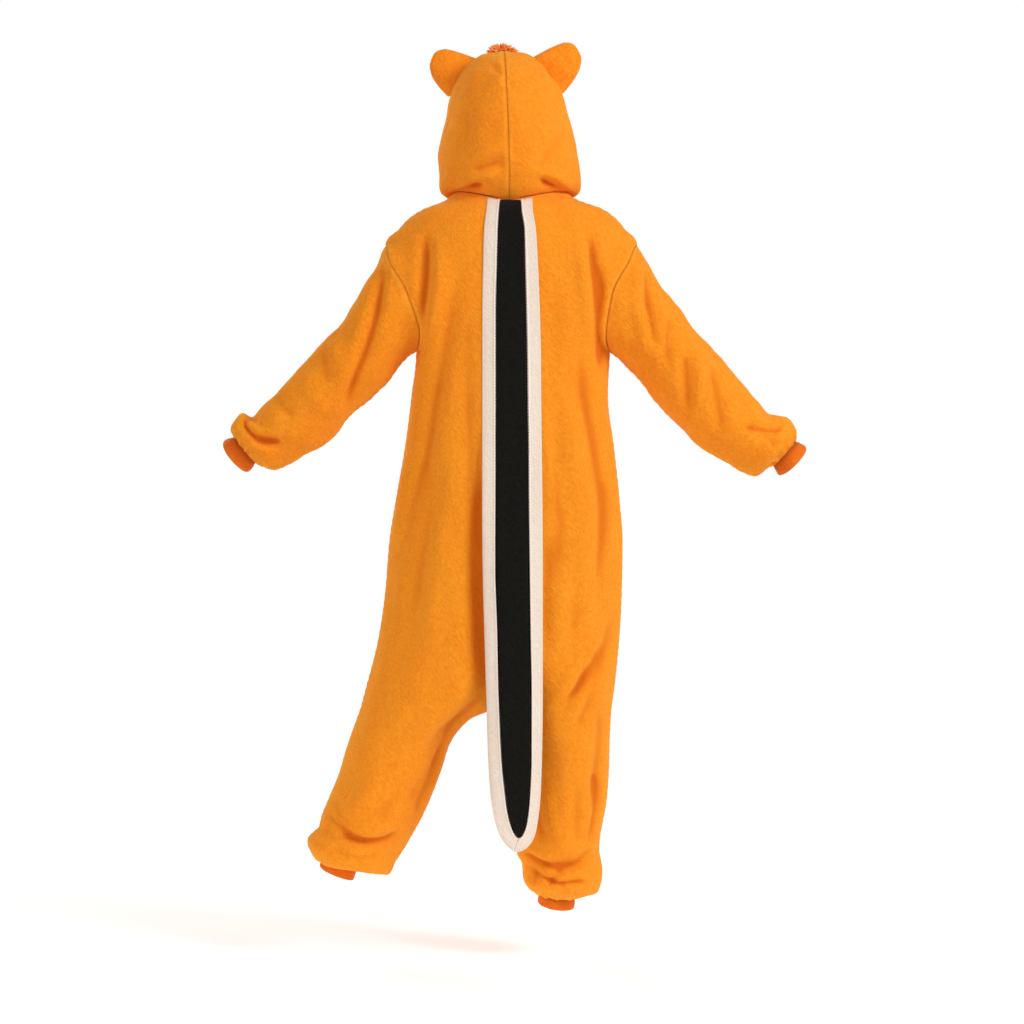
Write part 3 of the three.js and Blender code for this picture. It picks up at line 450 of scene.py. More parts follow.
def fleece(name, colours, contrast, sheen, sheen_tint, scatter=0.0):
    """Brushed knit. The first two colours are the nap's light and deep ones. The third is painted
    shade, mixed in where the attribute is above 0, and the fourth a painted highlight on a seam's
    roll, where it is below."""
    light, deep, shadow, edge = (linear(colour) for colour in colours.split())
    finish = Finish(name, 0.95, sheen, sheen_tint, specular=0.05, scatter=scatter)
    patches = finish.noise(finish.places((1.0, 0.5, 1.0), uv=True), PATCH, 2, 0.5, 0.4)
    streaks = finish.noise(finish.slanted(3.0), STREAK, 2, 0.55, 0.6)
    clumps = finish.noise(finish.slanted(1.7), CLUMP, 3, 0.6, 0.8)
    fibres = finish.noise(finish.slanted(2.2), FIBRE, 2, 0.6)
    tone = (patches - 0.5) * 0.5 + (clumps - 0.5) * 0.6 + (streaks - 0.5) * 1.5 + (fibres - 0.5) * 0.4
    napped = finish.blend((tone * contrast + 0.5).clamped(), deep, light)
    # The attribute brings painted shade into folds and seams, and below 0 a painted highlight.
    fold = finish.attribute("painted_shade_and_highlight")
    deepened = fold * (0.24 + (streaks - 0.5) * 0.6) + fold * fold * 0.36
    shaded = finish.blend((deepened * finish.ramp(fold, 0.0, 0.02)).clamped(), napped, shadow)
    with_painted_highlight = finish.blend((fold * -1.0).clamped(), shaded, edge)
    finish.bumped(streaks * 0.6 + clumps * 0.5 + fibres * 0.2, 0.95, 0.003)
    return finish.coloured(with_painted_highlight)


# In each finish the third colour is painted shade and the fourth a painted highlight.
orange_fleece = fleece("orange_fleece", "ffa22c f0841a c44404 ffb545", 1.2, 0.2, (1.0, 0.66, 0.24), 0.35)
cream_fleece = fleece("cream_fleece", "efe4d8 dfd4c5 b08f76 fff6ec", 0.9, 0.15, (1.0, 0.95, 0.9))
black_fleece = fleece("black_fleece", "1b1b18 10100f 030303 242422", 1.1, 0.05, (0.8, 0.8, 0.75))
print("fleece finishes", orange_fleece.name, cream_fleece.name, black_fleece.name)

# %% [markdown]
# The body comes first, because everything else is sewn to it. It is one table for the trunk, from
# the neck seam down to the crotch, and one for each leg. A level is a row number that runs on from
# the trunk into the leg. At each level the cloth is part of an ellipse, from the side seam, or
# from the armhole, round to the middle seam, and below the crotch on to the inner leg seam.

# %% The body's sections
TRUNK = table("z left right middle backZ back frontZ front", [
    [30, 103, -93, 5, 7, 62, -50, -80],
    [13, 123, -122, 5, -9, 80, -72, -95],
    [-4, 165, -168, 4, -28, 92, -100, -105],
    [-22, 192, -193, 4, -52, 99, -125, -110],
    [-41, 209, -209, 3, -74, 103, -148, -114],
    [-70, 233, -231, 3, -96, 106, -170, -117],
    [-263, 176, -181, 1, -290, 112, -300, -126],
    [-350, 185, -177, 0, -368, 117, -372, -129],
    [-440, 197, -187, 0, -450, 124, -452, -130],
    [-530, 212, -197, 0, -535, 131, -535, -131],
    [-620, 226, -204, -1, -620, 138, -620, -132],
    [-710, 234, -202, -2, -705, 141, -705, -132],
    [-800, 247, -197, -3, -790, 139, -790, -129],
    [-892, 270, -188, 0, -916, 127, -916, -121],
])
LEG_COLUMNS = "outX outZ inX inZ seamY back front dip"
LEGS = {
    LEFT: [
        [270, -892, 0, -916, 0, 127, -121, 0],
        [279, -925, 68, -938, 0, 118, -115, 0],
        [292, -960, 114, -988, -2, 108, -109, 0],
        [307, -1003, 131, -1036, -5, 99, -104, 0],
        [320, -1047, 150, -1086, -8, 91, -101, 0],
        [338, -1091, 170, -1132, -12, 82, -100, 0],
        [352, -1126, 187, -1163, -15, 74, -98, 0],
        [357, -1146, 199, -1184, -17, 65, -93, 0],
        [379, -1172, 216, -1210, -19, 72, -103, 0],
        [363, -1205, 231, -1234, -20, 50, -86, 0],
    ],
    RIGHT: [
        [-188, -892, 0, -916, 0, 127, -121, 0],
        [-183, -929, -5, -950, 0, 117, -114, 0],
        [-180, -980, -8, -1000, 0, 106, -106, 0],
        [-178, -1040, -10, -1054, 0, 96, -98, 0],
        [-174, -1095, -11, -1106, -1, 88, -92, 0],
        [-167, -1136, -11, -1154, -2, 83, -88, 2],
        [-162, -1166, -9, -1190, -3, 78, -84, 4],
        [-161, -1186, -19, -1213, -4, 68, -78, 5],
        [-167, -1227, -21, -1239, -5, 72, -84, 6],
        [-157, -1265, -34, -1258, -5, 50, -62, 7],
    ],
}
SHOULDER, UNDERARM, SEAT, CROTCH = 5, 6, 12, 13
SEAT_PACE = 0.73 # the middle seam curves under the crotch from the pace that it has at the seat
ANKLE = CROTCH + len(LEGS[LEFT])
WRIST_RADIUS, ANKLE_RADIUS = 31.5, 32.5

# A cuff: where the cloth ends on it, the way towards its outer side, how its back hangs lower in
# degrees, and how much further its rim reaches at the back.
CUFFS = {
    "wrist_cuff_left": {"at": (499, -50, -446), "up": (0.617, 0, 0.787), "tilt": 0, "reach": 11},
    "wrist_cuff_right": {"at": (-509, -50, -453), "up": (-0.663, 0, 0.749), "tilt": 0, "reach": 9},
    "ankle_cuff_left": {"at": (318, -20, -1213), "up": (0.921, 0, 0.39), "tilt": 0, "reach": 4},
    "ankle_cuff_right": {"at": (-84, -5, -1269), "up": (-0.993, 0, -0.12), "tilt": 12, "reach": 2},
}


def cuff_frame(name):
    """A cuff's centre and its three directions: up across it, back across it and out along it."""
    cuff = CUFFS[name]
    up = unit(np.array(cuff["up"], float))
    tilt = math.radians(cuff["tilt"])
    back = np.array([0, math.cos(tilt), -math.sin(tilt)])
    out = unit(np.cross(up, back))
    return np.array(cuff["at"], float), up, back, out if out[2] < 0 else -out


def leg_table(side):
    """The leg's rows and a last one, where the cloth stands round its cuff."""
    at, up, back, _ = cuff_frame("ankle_cuff_" + SIDES[side])
    radius = ANKLE_RADIUS + 0.8
    outer, inner = at + up * radius, at - up * radius
    last = [outer[0], outer[2], inner[0], inner[2], at[1],
            at[1] + radius * back[1], at[1] - radius * back[1], -radius * back[2]]
    return table(LEG_COLUMNS, [*LEGS[side], last])


def body_tracks(side):
    leg = leg_table(side)
    pairs = {"outX": SIDES[side], "outZ": "z", "back": "back", "front": "front"}
    of = {low: track(np.concatenate((TRUNK[high], leg[low][1:]))) for low, high in pairs.items()}
    of["leg"] = tracks(leg)
    return of


body = {side: body_tracks(side) for side in SIDES}
trunk = tracks(TRUNK)
armhole_x = {LEFT: track([233, 226, 190, 169, 176]), RIGHT: track([-231, -216, -182, -172, -181])}
ARM_MIDDLE, ARM_HALF_HEIGHT, ARM_HALF_DEPTH = -166.5, 96.5, 75


def armhole(side, angle):
    """The armhole is an ellipse seen from the side, and its x follows a track round it."""
    return points(armhole_x[side](np.abs(angle) / math.pi * 4),
                  ARM_HALF_DEPTH * np.sin(angle),
                  ARM_MIDDLE + ARM_HALF_HEIGHT * np.cos(angle))


def armhole_at(side, face, level):
    """Whether each level is beside the armhole, and the armhole's point there."""
    beside = (level > SHOULDER) & (level < UNDERARM)
    return beside, armhole(side, face * math.pi * np.clip(level - SHOULDER, 0, 1))


def body_form(side, face, level, across):
    """The ellipse between a row's start, on the side seam or the armhole, and its end: x and z go
    from start to end by the cosine of the turn, and y goes out to the depth by its sine."""
    level, across = np.broadcast_arrays(np.asarray(level, float), np.asarray(across, float))
    of, leg = body[side], body[side]["leg"]
    in_leg = np.maximum(level - CROTCH, 0)
    swing = np.clip(level - SEAT, 0, 1)
    under = smooth(swing) * math.pi / 2
    drop = np.sin(under) + SEAT_PACE * swing * (1 - swing) ** 3
    middle_z = trunk[FACES[face] + "Z"]
    end_x = np.where(level < CROTCH, mix(trunk["middle"](np.minimum(level, SEAT)), leg["inX"](0), swing),
                     leg["inX"](in_leg))
    end_z = np.where(level < CROTCH, mix(middle_z(np.minimum(level, SEAT)), leg["inZ"](0), drop),
                     leg["inZ"](in_leg))
    depth = of[FACES[face]](level)
    seam_y = leg["seamY"](in_leg)
    start = points(of["outX"](level), seam_y, of["outZ"](level))
    in_arm, hole = armhole_at(side, face, level)
    start = np.where(in_arm[..., None], hole, start)
    first = np.where(in_arm, np.arcsin(np.clip(start[..., 1] / depth, -1, 1)), 0)
    end_turn = math.pi / 2 + under
    turn = mix(first, end_turn, across)
    share = (np.cos(first) - np.cos(turn)) / (np.cos(first) - np.cos(end_turn))
    return points(mix(start[..., 0], end_x, share),
                  mix(seam_y, depth, np.sin(turn)),
                  mix(start[..., 2], end_z, share) - face * leg["dip"](in_leg) * np.sin(turn))


STEP = 4.0 # the mesh's step on the cloth


def even_levels(form, first, last, shares, keep=()):
    """Levels about a step apart on the surface: the way run at several shares across is added up
    along the form, and cut into equal lengths. The levels in keep are hit exactly."""
    dense = np.linspace(first, last, 3000)
    steps = np.max([length(np.diff(form(dense, share), axis=0)) for share in shares], axis=0)
    levels = paced(dense, steps, STEP)
    for level in keep:
        levels[np.abs(levels - level).argmin()] = level
    return levels


for side, side_name in SIDES.items():
    side_seam = body_form(side, BACK, np.linspace(0, ANKLE, 400), 0.0)
    print("side seam", side_name, round(length(np.diff(side_seam, axis=0)).sum()), "mm")

# %% [markdown]
# The folds of the back are those that show: deep ones that fall from the armpits, long soft ones
# down the left side where the cloth swings out, a ridge to the right of the stripe, and the drag
# lines that run down from the hips to the ankles. The front hangs the same way and gets its own.
# A seam holds the cloth in, so the cloth beside it stands up a little and puckers.

# %% The folds of the body
BACK_FOLDS = [
    crease(9, 9, (158, -50), (157, -110), (160, -170), (170, -240), (182, -300)),
    ridge(20, 5, (132, -60), (130, -140), (140, -230), (148, -330)),
    crease(11, 6.5, (98, -118), (118, -220), (136, -336), (154, -445), (185, -553), (205, -680)),
    ridge(24, 4.5, (120, -105), (146, -230), (160, -335), (178, -445), (204, -545), (222, -640)),
    crease(13, 5, (140, -470), (152, -560), (163, -650), (177, -776)),
    ridge(24, 4, (108, -430), (125, -560), (138, -700), (160, -820)),
    crease(10, 3.5, (216, -600), (224, -700), (232, -800)),
    crease(12, 3, (75, -180), (82, -300), (80, -420)),
    crease(9, 9, (-143, -50), (-148, -115), (-157, -197), (-164, -262), (-169, -310)),
    ridge(16, 4, (-128, -70), (-130, -150), (-138, -240)),
    crease(8, 6, (-160, -110), (-168, -170), (-177, -230), (-178, -285)),
    ridge(18, 4.5, (-92, -120), (-96, -220), (-92, -330)),
    ridge(22, 7, (-86, -300), (-108, -432), (-126, -530), (-132, -622), (-136, -740)),
    crease(14, 6, (-124, -250), (-132, -350), (-156, -480), (-169, -556), (-160, -650), (-150, -740)),
    crease(15, 4.5, (-66, -380), (-77, -520), (-90, -600), (-86, -700)),
    ridge(14, 3.5, (-158, -330), (-172, -430), (-184, -520)),
    crease(10, 4, (-112, -640), (-116, -720), (-112, -800)),
    crease(17, 10, (58, -330), (60, -450), (61, -560), (60, -680), (56, -790), (54, -900)),
    crease(13, 4, (-62, -600), (-64, -700), (-62, -820)),
    ridge(17, 6.5, (-152, -780), (-128, -830), (-92, -905), (-58, -975)),
    crease(9, 6.5, (-160, -800), (-140, -845), (-108, -900), (-78, -955)),
    crease(9, 5, (-190, -740), (-165, -830), (-132, -925), (-118, -960)),
    crease(9, 6, (-60, -955), (-88, -905), (-118, -878), (-136, -830)),
    crease(10, 5, (-158, -900), (-164, -975), (-154, -1047), (-141, -1107)),
    crease(10, 6, (48, -890), (86, -925), (124, -957), (192, -1020)),
    ridge(16, 5, (62, -872), (110, -912), (158, -950), (220, -1005)),
    crease(9, 4.5, (100, -970), (130, -1000), (165, -1055), (188, -1110)),
    ridge(14, 4, (120, -965), (152, -1010), (186, -1065)),
]
LEG_FOLDS = [
    crease(7, 8, (318, -1147), (290, -1158), (262, -1164), (234, -1161), (206, -1148)),
    crease(9, 3.5, (330, -1078), (323, -1107), (308, -1130), (290, -1150)),
    crease(5, 4, (344, -1108), (326, -1132), (306, -1146)),
    crease(5, 6, (60, -918), (92, -940), (124, -985), (139, -1030), (155, -1068), (172, -1110), (182, -1151)),
    ridge(18, 5, (80, -860), (140, -935), (190, -1010), (240, -1085)),
    crease(16, 4, (178, -1000), (206, -1060), (228, -1100), (244, -1136)),
    ridge(14, 4.5, (240, -1030), (268, -1080), (300, -1118)),
    crease(7, 4, (332, -1172), (300, -1188), (262, -1192), (240, -1188)),
    crease(6, 8, (-18, -1184), (-38, -1198), (-74, -1209), (-118, -1204), (-146, -1180)),
    crease(7, 6, (-152, -1040), (-160, -1080), (-150, -1130), (-142, -1172)),
    ridge(13, 5, (-60, -1070), (-76, -1130), (-96, -1180)),
    crease(9, 5, (-36, -1050), (-46, -1110), (-56, -1170)),
    crease(9, 4, (-120, -1050), (-118, -1120), (-126, -1170)),
    crease(5, 7, (-40, -1216), (-63, -1232), (-88, -1240), (-118, -1238), (-142, -1240)),
    ridge(9, 4, (-112, -1220), (-128, -1206), (-144, -1196)),
    crease(5, 5, (-33, -1208), (-42, -1226), (-40, -1246)),
    crease(5, 5, (-92, -1212), (-78, -1226), (-66, -1248)),
    crease(5, 3.5, (-86, -1238), (-92, -1250), (-90, -1262)),
]
FRONT_FOLDS = [
    crease(9, 8, (150, -70), (152, -140), (162, -220), (172, -290)),
    crease(10, 6, (-145, -65), (-150, -140), (-162, -215), (-172, -285)),
    crease(12, 5.5, (108, -150), (128, -270), (146, -400), (158, -520)),
    ridge(20, 4.5, (82, -180), (96, -330), (112, -470), (132, -600)),
    ridge(22, 4.5, (-100, -140), (-118, -300), (-128, -460), (-124, -600)),
    crease(12, 5.5, (-80, -200), (-92, -350), (-108, -520), (-128, -650)),
    crease(12, 4.5, (-168, -420), (-158, -560), (-140, -720)),
    crease(11, 5, (60, -870), (98, -905), (150, -945), (210, -985)),
    ridge(17, 5, (56, -845), (108, -880), (170, -925), (236, -975)),
    crease(10, 6, (-50, -880), (-92, -850), (-140, -800), (-172, -760)),
    ridge(16, 5, (-44, -915), (-88, -885), (-136, -838), (-168, -800)),
    crease(9, 4.5, (60, -780), (76, -840), (60, -900)),
    crease(9, 4, (-46, -760), (-62, -820), (-52, -900)),
    crease(9, 5, (150, -990), (200, -1030), (262, -1062)),
    crease(9, 4, (-140, -930), (-104, -965), (-60, -985)),
    *LEG_FOLDS,
]
SEAM_RISE, SEAM_WIDTH = 1.6, 3.2
STRIPE_HALF = 60 # the cloth lies flat under the stripe and the button band
TAIL_FREE = -410 # below here the back may fall away behind the tail


def seam_form(gap, along, seed):
    """A sewn edge: it stays where it is, and the cloth beside it stands up by
    rise * (1 - exp(-(gap / width) squared)), which fades out 20 mm away, with puckers on it."""
    phase = 2 * math.pi * along / 15 + 2.2 * np.sin(along / 31 + seed)
    pucker = 0.55 * np.sin(phase) * np.exp(-(((gap - 8) / 5) ** 2)) * smooth(gap / 5)
    uneven = 0.75 + 0.25 * np.sin(along / 47 + 2 * seed)
    beside = (1 - np.exp(-((gap / SEAM_WIDTH) ** 2))) * np.exp(-((gap / 15) ** 2))
    return (SEAM_RISE * beside + pucker) * uneven


def seam_shade(gap):
    """A seam's painted light: painted shade in its groove, and a painted highlight on the roll beside it."""
    return 0.6 * np.exp(-((gap / 1.8) ** 2)) - 0.3 * np.exp(-(((gap - 5) / 2.2) ** 2))


def run_across(grid):
    """How far each point lies from its row's start, and from its end, along the cloth."""
    run = np.concatenate((np.zeros((len(grid), 1)), length(np.diff(grid, axis=1)).cumsum(1)), 1)
    return run, run[:, -1:] - run


def run_along(grid):
    return np.concatenate((np.zeros((1, grid.shape[1])), length(np.diff(grid, axis=0)).cumsum(0)))


def painted_shade_and_highlight(height, sharp=6.5):
    """The painted shade: how far below the cloth around it a point lies, as the share of shade colour."""
    return smooth((-height - 0.6) / sharp)


def shaded_by(height, seam_painted_light):
    """The painted shade: the deeper of a fold's and a seam's, or a seam's painted highlight on its
    roll where there is no fold.
    """
    deep = painted_shade_and_highlight(height)
    return np.where(seam_painted_light > deep, seam_painted_light, deep + np.minimum(seam_painted_light, 0) * (1 - deep))


def eased(form, levels, reach=9):
    """The form with each point drawn to the mean of the rows near it, by exp(-(rows / reach)
    squared): at the crotch and the shoulder, where the sections change, and not on the seams."""
    steps = np.arange(-3 * reach, 3 * reach + 1)
    weights = np.exp(-((steps / reach) ** 2))
    padded = np.pad(form, ((3 * reach, 3 * reach), (0, 0), (0, 0)), mode="edge")
    mean = sum(w * padded[k:k + len(form)] for k, w in enumerate(weights)) / weights.sum()
    from_side, from_end = run_across(form)
    crotch = smooth((levels - SEAT + 0.9) / 0.8) * smooth((CROTCH + 2.6 - levels) / 1.6)
    shoulder = smooth((levels - 1.5) / 2) * smooth((UNDERARM + 0.8 - levels) / 0.8)
    amount = np.maximum(crotch, shoulder)[:, None] * smooth(from_side / 45) * smooth(from_end / 45)
    return mix(form, mean, amount[..., None])


def body_panel(side, face):
    """A panel: the smooth form, then folds and slow swells, then its sewn edges."""
    levels = even_levels(lambda level, across: body_form(side, face, level, across), 0, ANKLE,
                         (0.0, 0.5, 1.0), (SHOULDER, UNDERARM, SEAT, CROTCH))
    columns = np.linspace(0, 1, 66)
    form = eased(body_form(side, face, levels[:, None], columns[None, :]), levels)
    outward = side * face
    facing = smooth(normals(form, outward)[..., 1] * face * 1.5)
    from_side, from_end = run_across(form)
    along = run_along(form)
    to_ankle = along[-1:] - along
    free = smooth(from_side / 22) * smooth(from_end / 22) * smooth(along / 30) * smooth(to_ankle / 14)
    clear = mix(smooth((np.abs(form[..., 0]) - STRIPE_HALF) / 26), 1, smooth(levels[:, None] - SEAT))
    folds = fold_height(form, [*BACK_FOLDS, *LEG_FOLDS] if face == BACK else FRONT_FOLDS)
    behind_tail = smooth((TAIL_FREE - form[..., 2]) / 200) * (face == BACK)
    clear = np.where(folds < 0, np.maximum(clear, behind_tail), clear)
    slow = 2.6 * swell(form * (1, 1, 0.5), 120, 5) + 1.1 * swell(form * (1, 1, 0.6), 48, 8)
    height = (folds * facing + slow * smooth(from_side / 60)) * free * clear
    gather = gathers(form, levels, side, to_ankle) * smooth(from_side / 6) * smooth(from_end / 6)
    sunk = seam_form(from_side, along, 1.0 + side) + seam_form(from_end, along, 2.0 + side)
    sunk += seam_form(along, from_side, 3.0) * (levels[:, None] < 3)
    grid = raised(form, height + gather + sunk * smooth(to_ankle / 8), outward)
    seam_painted_light = seam_shade(from_side) + seam_shade(from_end) + seam_shade(along)
    shade = shaded_by(folds * facing * free * clear + gather, seam_painted_light)
    cloth(f"{FACES[face]}_{SIDES[side]}", grid, outward, form, shade)


def gathers(form, levels, side, to_ankle):
    """The small pleats where the leg is drawn in to its cuff: waves round the section that grow
    towards the cuff and are gone 45 mm above it."""
    at, up, back, _ = cuff_frame("ankle_cuff_" + SIDES[side])
    away = form - at
    angle = np.arctan2(away @ back, away @ up)
    wave = np.sin(13 * angle + 1.3 * np.sin(3 * angle + side)) + 0.5 * np.sin(21 * angle + 2 + side)
    return 1.7 * wave * np.exp(-((to_ankle / 26) ** 2)) * smooth(to_ankle / 5)


for side in SIDES:
    for face in FACES:
        body_panel(side, face)

# %% [markdown]
# A sleeve is a tube between two closed curves: the armhole and the ring round the wrist. Each
# section of its table gives the highest and lowest point seen from behind, and the first few rows
# are bent to meet the armhole. Above the cuff the cloth bags over in a soft roll.

# %% The sleeves
SLEEVE_COLUMNS = "topX topZ lowX lowZ y deep"
SLEEVES = {
    LEFT: [
        [233, -70, 176, -263, 0, 75],
        [254, -109, 188, -269, -1, 76],
        [278, -152, 201, -283, -4, 75],
        [306, -198, 222, -309, -8, 73],
        [349, -247, 251, -341, -14, 71],
        [395, -295, 293, -375, -22, 68],
        [432, -335, 328, -413, -30, 65],
        [466, -368, 366, -447, -38, 62],
        [485, -386, 407, -465, -43, 56],
        [504, -379, 448, -481, -47, 61],
        [522, -404, 471, -474, -50, 46],
    ],
    RIGHT: [
        [-231, -70, -181, -263, 0, 75],
        [-252, -107, -194, -274, -1, 76],
        [-275, -142, -211, -294, -4, 75],
        [-304, -176, -234, -316, -8, 73],
        [-343, -228, -271, -361, -14, 71],
        [-383, -271, -310, -403, -22, 68],
        [-421, -317, -350, -439, -30, 65],
        [-455, -352, -391, -467, -38, 62],
        [-483, -380, -429, -485, -43, 56],
        [-511, -385, -457, -492, -47, 61],
        [-532, -412, -482, -477, -50, 46],
    ],
}
SLEEVE_FOLDS = [
    crease(8, 8, (240, -85), (243, -155), (249, -200), (266, -262), (292, -335), (305, -385)),
    ridge(18, 4.5, (262, -120), (272, -190), (292, -262), (322, -330)),
    crease(10, 4.5, (352, -250), (343, -295), (338, -330)),
    crease(9, 4, (440, -338), (424, -366), (400, -390)),
    ridge(14, 3.5, (385, -300), (366, -345), (340, -385)),
    crease(6.5, 13, (472, -382), (489, -387), (497, -397), (490, -411), (474, -425), (446, -433),
           (424, -434)),
    ridge(8, 5, (512, -392), (506, -408), (492, -426), (472, -440)),
    crease(5, 4, (486, -383), (478, -388), (470, -397)),
    ridge(14, 5, (-228, -85), (-229, -170), (-236, -212), (-252, -285)),
    crease(8, 7, (-246, -95), (-248, -165), (-254, -215), (-262, -270)),
    crease(9, 4.5, (-290, -200), (-284, -250), (-288, -300)),
    crease(9, 6, (-318, -270), (-321, -310), (-324, -385)),
    ridge(12, 5.5, (-336, -250), (-340, -310), (-342, -385)),
    crease(9, 5, (-366, -290), (-378, -345), (-390, -430)),
    crease(7, 6.5, (-425, -402), (-452, -409), (-480, -409), (-506, -403)),
    ridge(10, 4, (-446, -398), (-474, -396), (-498, -390)),
    crease(5, 4, (-462, -420), (-478, -432), (-486, -446)),
]


def sleeve(side):
    at, up, _, _ = cuff_frame("wrist_cuff_" + SIDES[side])
    radius = WRIST_RADIUS + 0.8
    top, low = at + up * radius, at - up * radius
    rows = [*SLEEVES[side], [top[0], top[2], low[0], low[2], at[1], radius]]
    of = tracks(table(SLEEVE_COLUMNS, rows))
    last = len(rows) - 1

    def section(row, angle):
        """An ellipse between the highest and the lowest point, as deep as its table says."""
        share = (1 + np.cos(angle)) / 2
        return points(mix(of["lowX"](row), of["topX"](row), share),
                      of["y"](row) + of["deep"](row) * np.sin(angle),
                      mix(of["lowZ"](row), of["topZ"](row), share))

    def form_at(row, angle):
        bend = armhole(side, angle) - section(0 * row, angle)
        return section(row, angle) + bend * ((1 - np.clip(row / 3, 0, 1)) ** 2)[..., None]

    angles = np.linspace(-math.pi, math.pi, 116, endpoint=False)
    levels = even_levels(lambda row, angle: form_at(row, angle + 0 * row), 0, last, (0.0, 1.6, 3.1))
    form = form_at(levels[:, None] + 0 * angles, angles[None, :] + 0 * levels[:, None])
    outward = side
    facing = np.abs(normals(form, outward, True)[..., 1]) ** 0.7
    along = run_along(form)
    to_wrist = along[-1:] - along
    folds = fold_height(form, SLEEVE_FOLDS) * facing
    slow = 2.2 * swell(form, 95, 15) + 1.0 * swell(form, 40, 18)
    free = smooth(along / 22) * smooth(to_wrist / 14)
    wave = np.sin(12 * angles + 1.2 * np.sin(3 * angles + side)) + 0.5 * np.sin(19 * angles + 1)
    gather = 1.8 * wave * np.exp(-((to_wrist / 24) ** 2)) * smooth(to_wrist / 5)
    height = (folds + slow) * free + gather
    sunk = seam_form(along, angles[None, :] * 85, 5.0 + side)
    seam_gap = np.abs(np.abs(angles) - math.pi)[None, :] * of["deep"](levels)[:, None]
    sunk = sunk + seam_form(seam_gap, along, 6.0) * smooth(to_wrist / 10) * smooth(along / 8)
    shade = shaded_by(folds * free + gather, seam_shade(along) + seam_shade(seam_gap))
    grid = raised(form, height + sunk, outward, True)
    cloth("sleeve_" + SIDES[side], grid, outward, form, shade, closed=True)


for side in SIDES:
    sleeve(side)

# %% [markdown]
# The hood is two mirrored halves with a seam over the crown. A row of its table is a section that
# starts at the face opening, goes round the widest point and ends on the centre seam. The first
# rows are bent to the neck seam of the body, so the two edges meet all the way round.

# %% The hood
HOOD = table("sideY sideZ seamY seamZ half edge front", [
    [-9, -18, 62, 7, 98, -90, 1],
    [-20, 10, 88, 30, 118, -75, 0.85],
    [-35, 42, 106, 62, 130, -52, 0.8],
    [-50, 82, 118, 100, 131, -34, 0.8],
    [-60, 122, 122, 143, 127, -24, 0.8],
    [-62, 165, 109, 200, 118, -21, 0.85],
    [-66, 203, 68, 258, 106, -19, 1],
    [-82, 233, -4, 290, 90, -11, 1.2],
    [-100, 254, -96, 288, 62, 2, 1],
])
hood = tracks(HOOD)
HOOD_TOP = len(HOOD["half"]) - 1
HOOD_FOLDS = [
    crease(6.5, 10, (116, 2), (99, 13), (85, 22), (70, 30), (50, 33)),
    ridge(9, 6, (98, 26), (74, 44), (46, 50), (28, 46)),
    crease(7, 5.5, (72, 60), (56, 62), (42, 66), (14, 76)),
    ridge(13, 4.5, (84, 72), (60, 84), (40, 90), (12, 98)),
    crease(6.5, 8, (-48, 43), (-72, 32), (-94, 19), (-114, 9)),
    ridge(9, 4.5, (-44, 56), (-80, 49), (-112, 32)),
    crease(5, 3.5, (-70, 18), (-90, 12), (-108, 4)),
    ridge(15, 5, (-76, 150), (-56, 112), (-36, 80), (-8, 42)),
    crease(12, 4, (-94, 126), (-66, 88), (-44, 58)),
    crease(14, 3, (-48, 150), (-26, 108), (-6, 74)),
    crease(5, 3.2, (38, 256), (29, 244), (21, 230)),
    crease(4.5, 2.6, (17, 222), (8, 214), (-4, 212)),
    ridge(6, 2, (30, 238), (24, 226), (22, 212)),
    crease(5, 1.8, (20, 205), (32, 196), (44, 194)),
    crease(6, 2.2, (-6, 266), (-16, 258), (-28, 256)),
    crease(9, 3, (88, 180), (82, 140), (86, 100)),
    crease(9, 3, (-78, 215), (-84, 170), (-82, 130)),
]


def hood_lean(z):
    """The centre seam leans a little to the left on its way up."""
    return mix(5, 15, np.clip(z / 290, 0, 1) ** 2)


def hood_section(side, row, turn):
    depth = np.sin(turn) * np.where(turn < 0, hood["front"](row), 1.0)
    z = mix(hood["sideZ"](row), hood["seamZ"](row), depth)
    return points(hood_lean(z) + side * hood["half"](row) * np.cos(turn),
                  mix(hood["sideY"](row), hood["seamY"](row), depth), z)


def hood_form(side, row, share):
    """From the face opening, share 0, round to the centre seam, share 1. Near the neck the section
    is bent by (1 - row / 2) to the power 1.5 of what parts its foot from the neck seam."""
    row, share = np.broadcast_arrays(np.asarray(row, float), np.asarray(share, float))
    turn = mix(np.radians(hood["edge"](row)), math.pi / 2, share)
    across = np.abs(turn) / (math.pi / 2)
    neck = np.where((turn < 0)[..., None], body_form(side, FRONT, 0 * row, across),
                    body_form(side, BACK, 0 * row, across))
    bend = neck - hood_section(side, 0 * row, turn)
    return hood_section(side, row, turn) + bend * ((1 - np.clip(row / 2, 0, 1)) ** 1.5)[..., None]


def hood_sway(places):
    """The hood's slow swells, which the feet of the ears follow."""
    return 2.0 * swell(places, 85, 25) + 0.9 * swell(places, 36, 28)


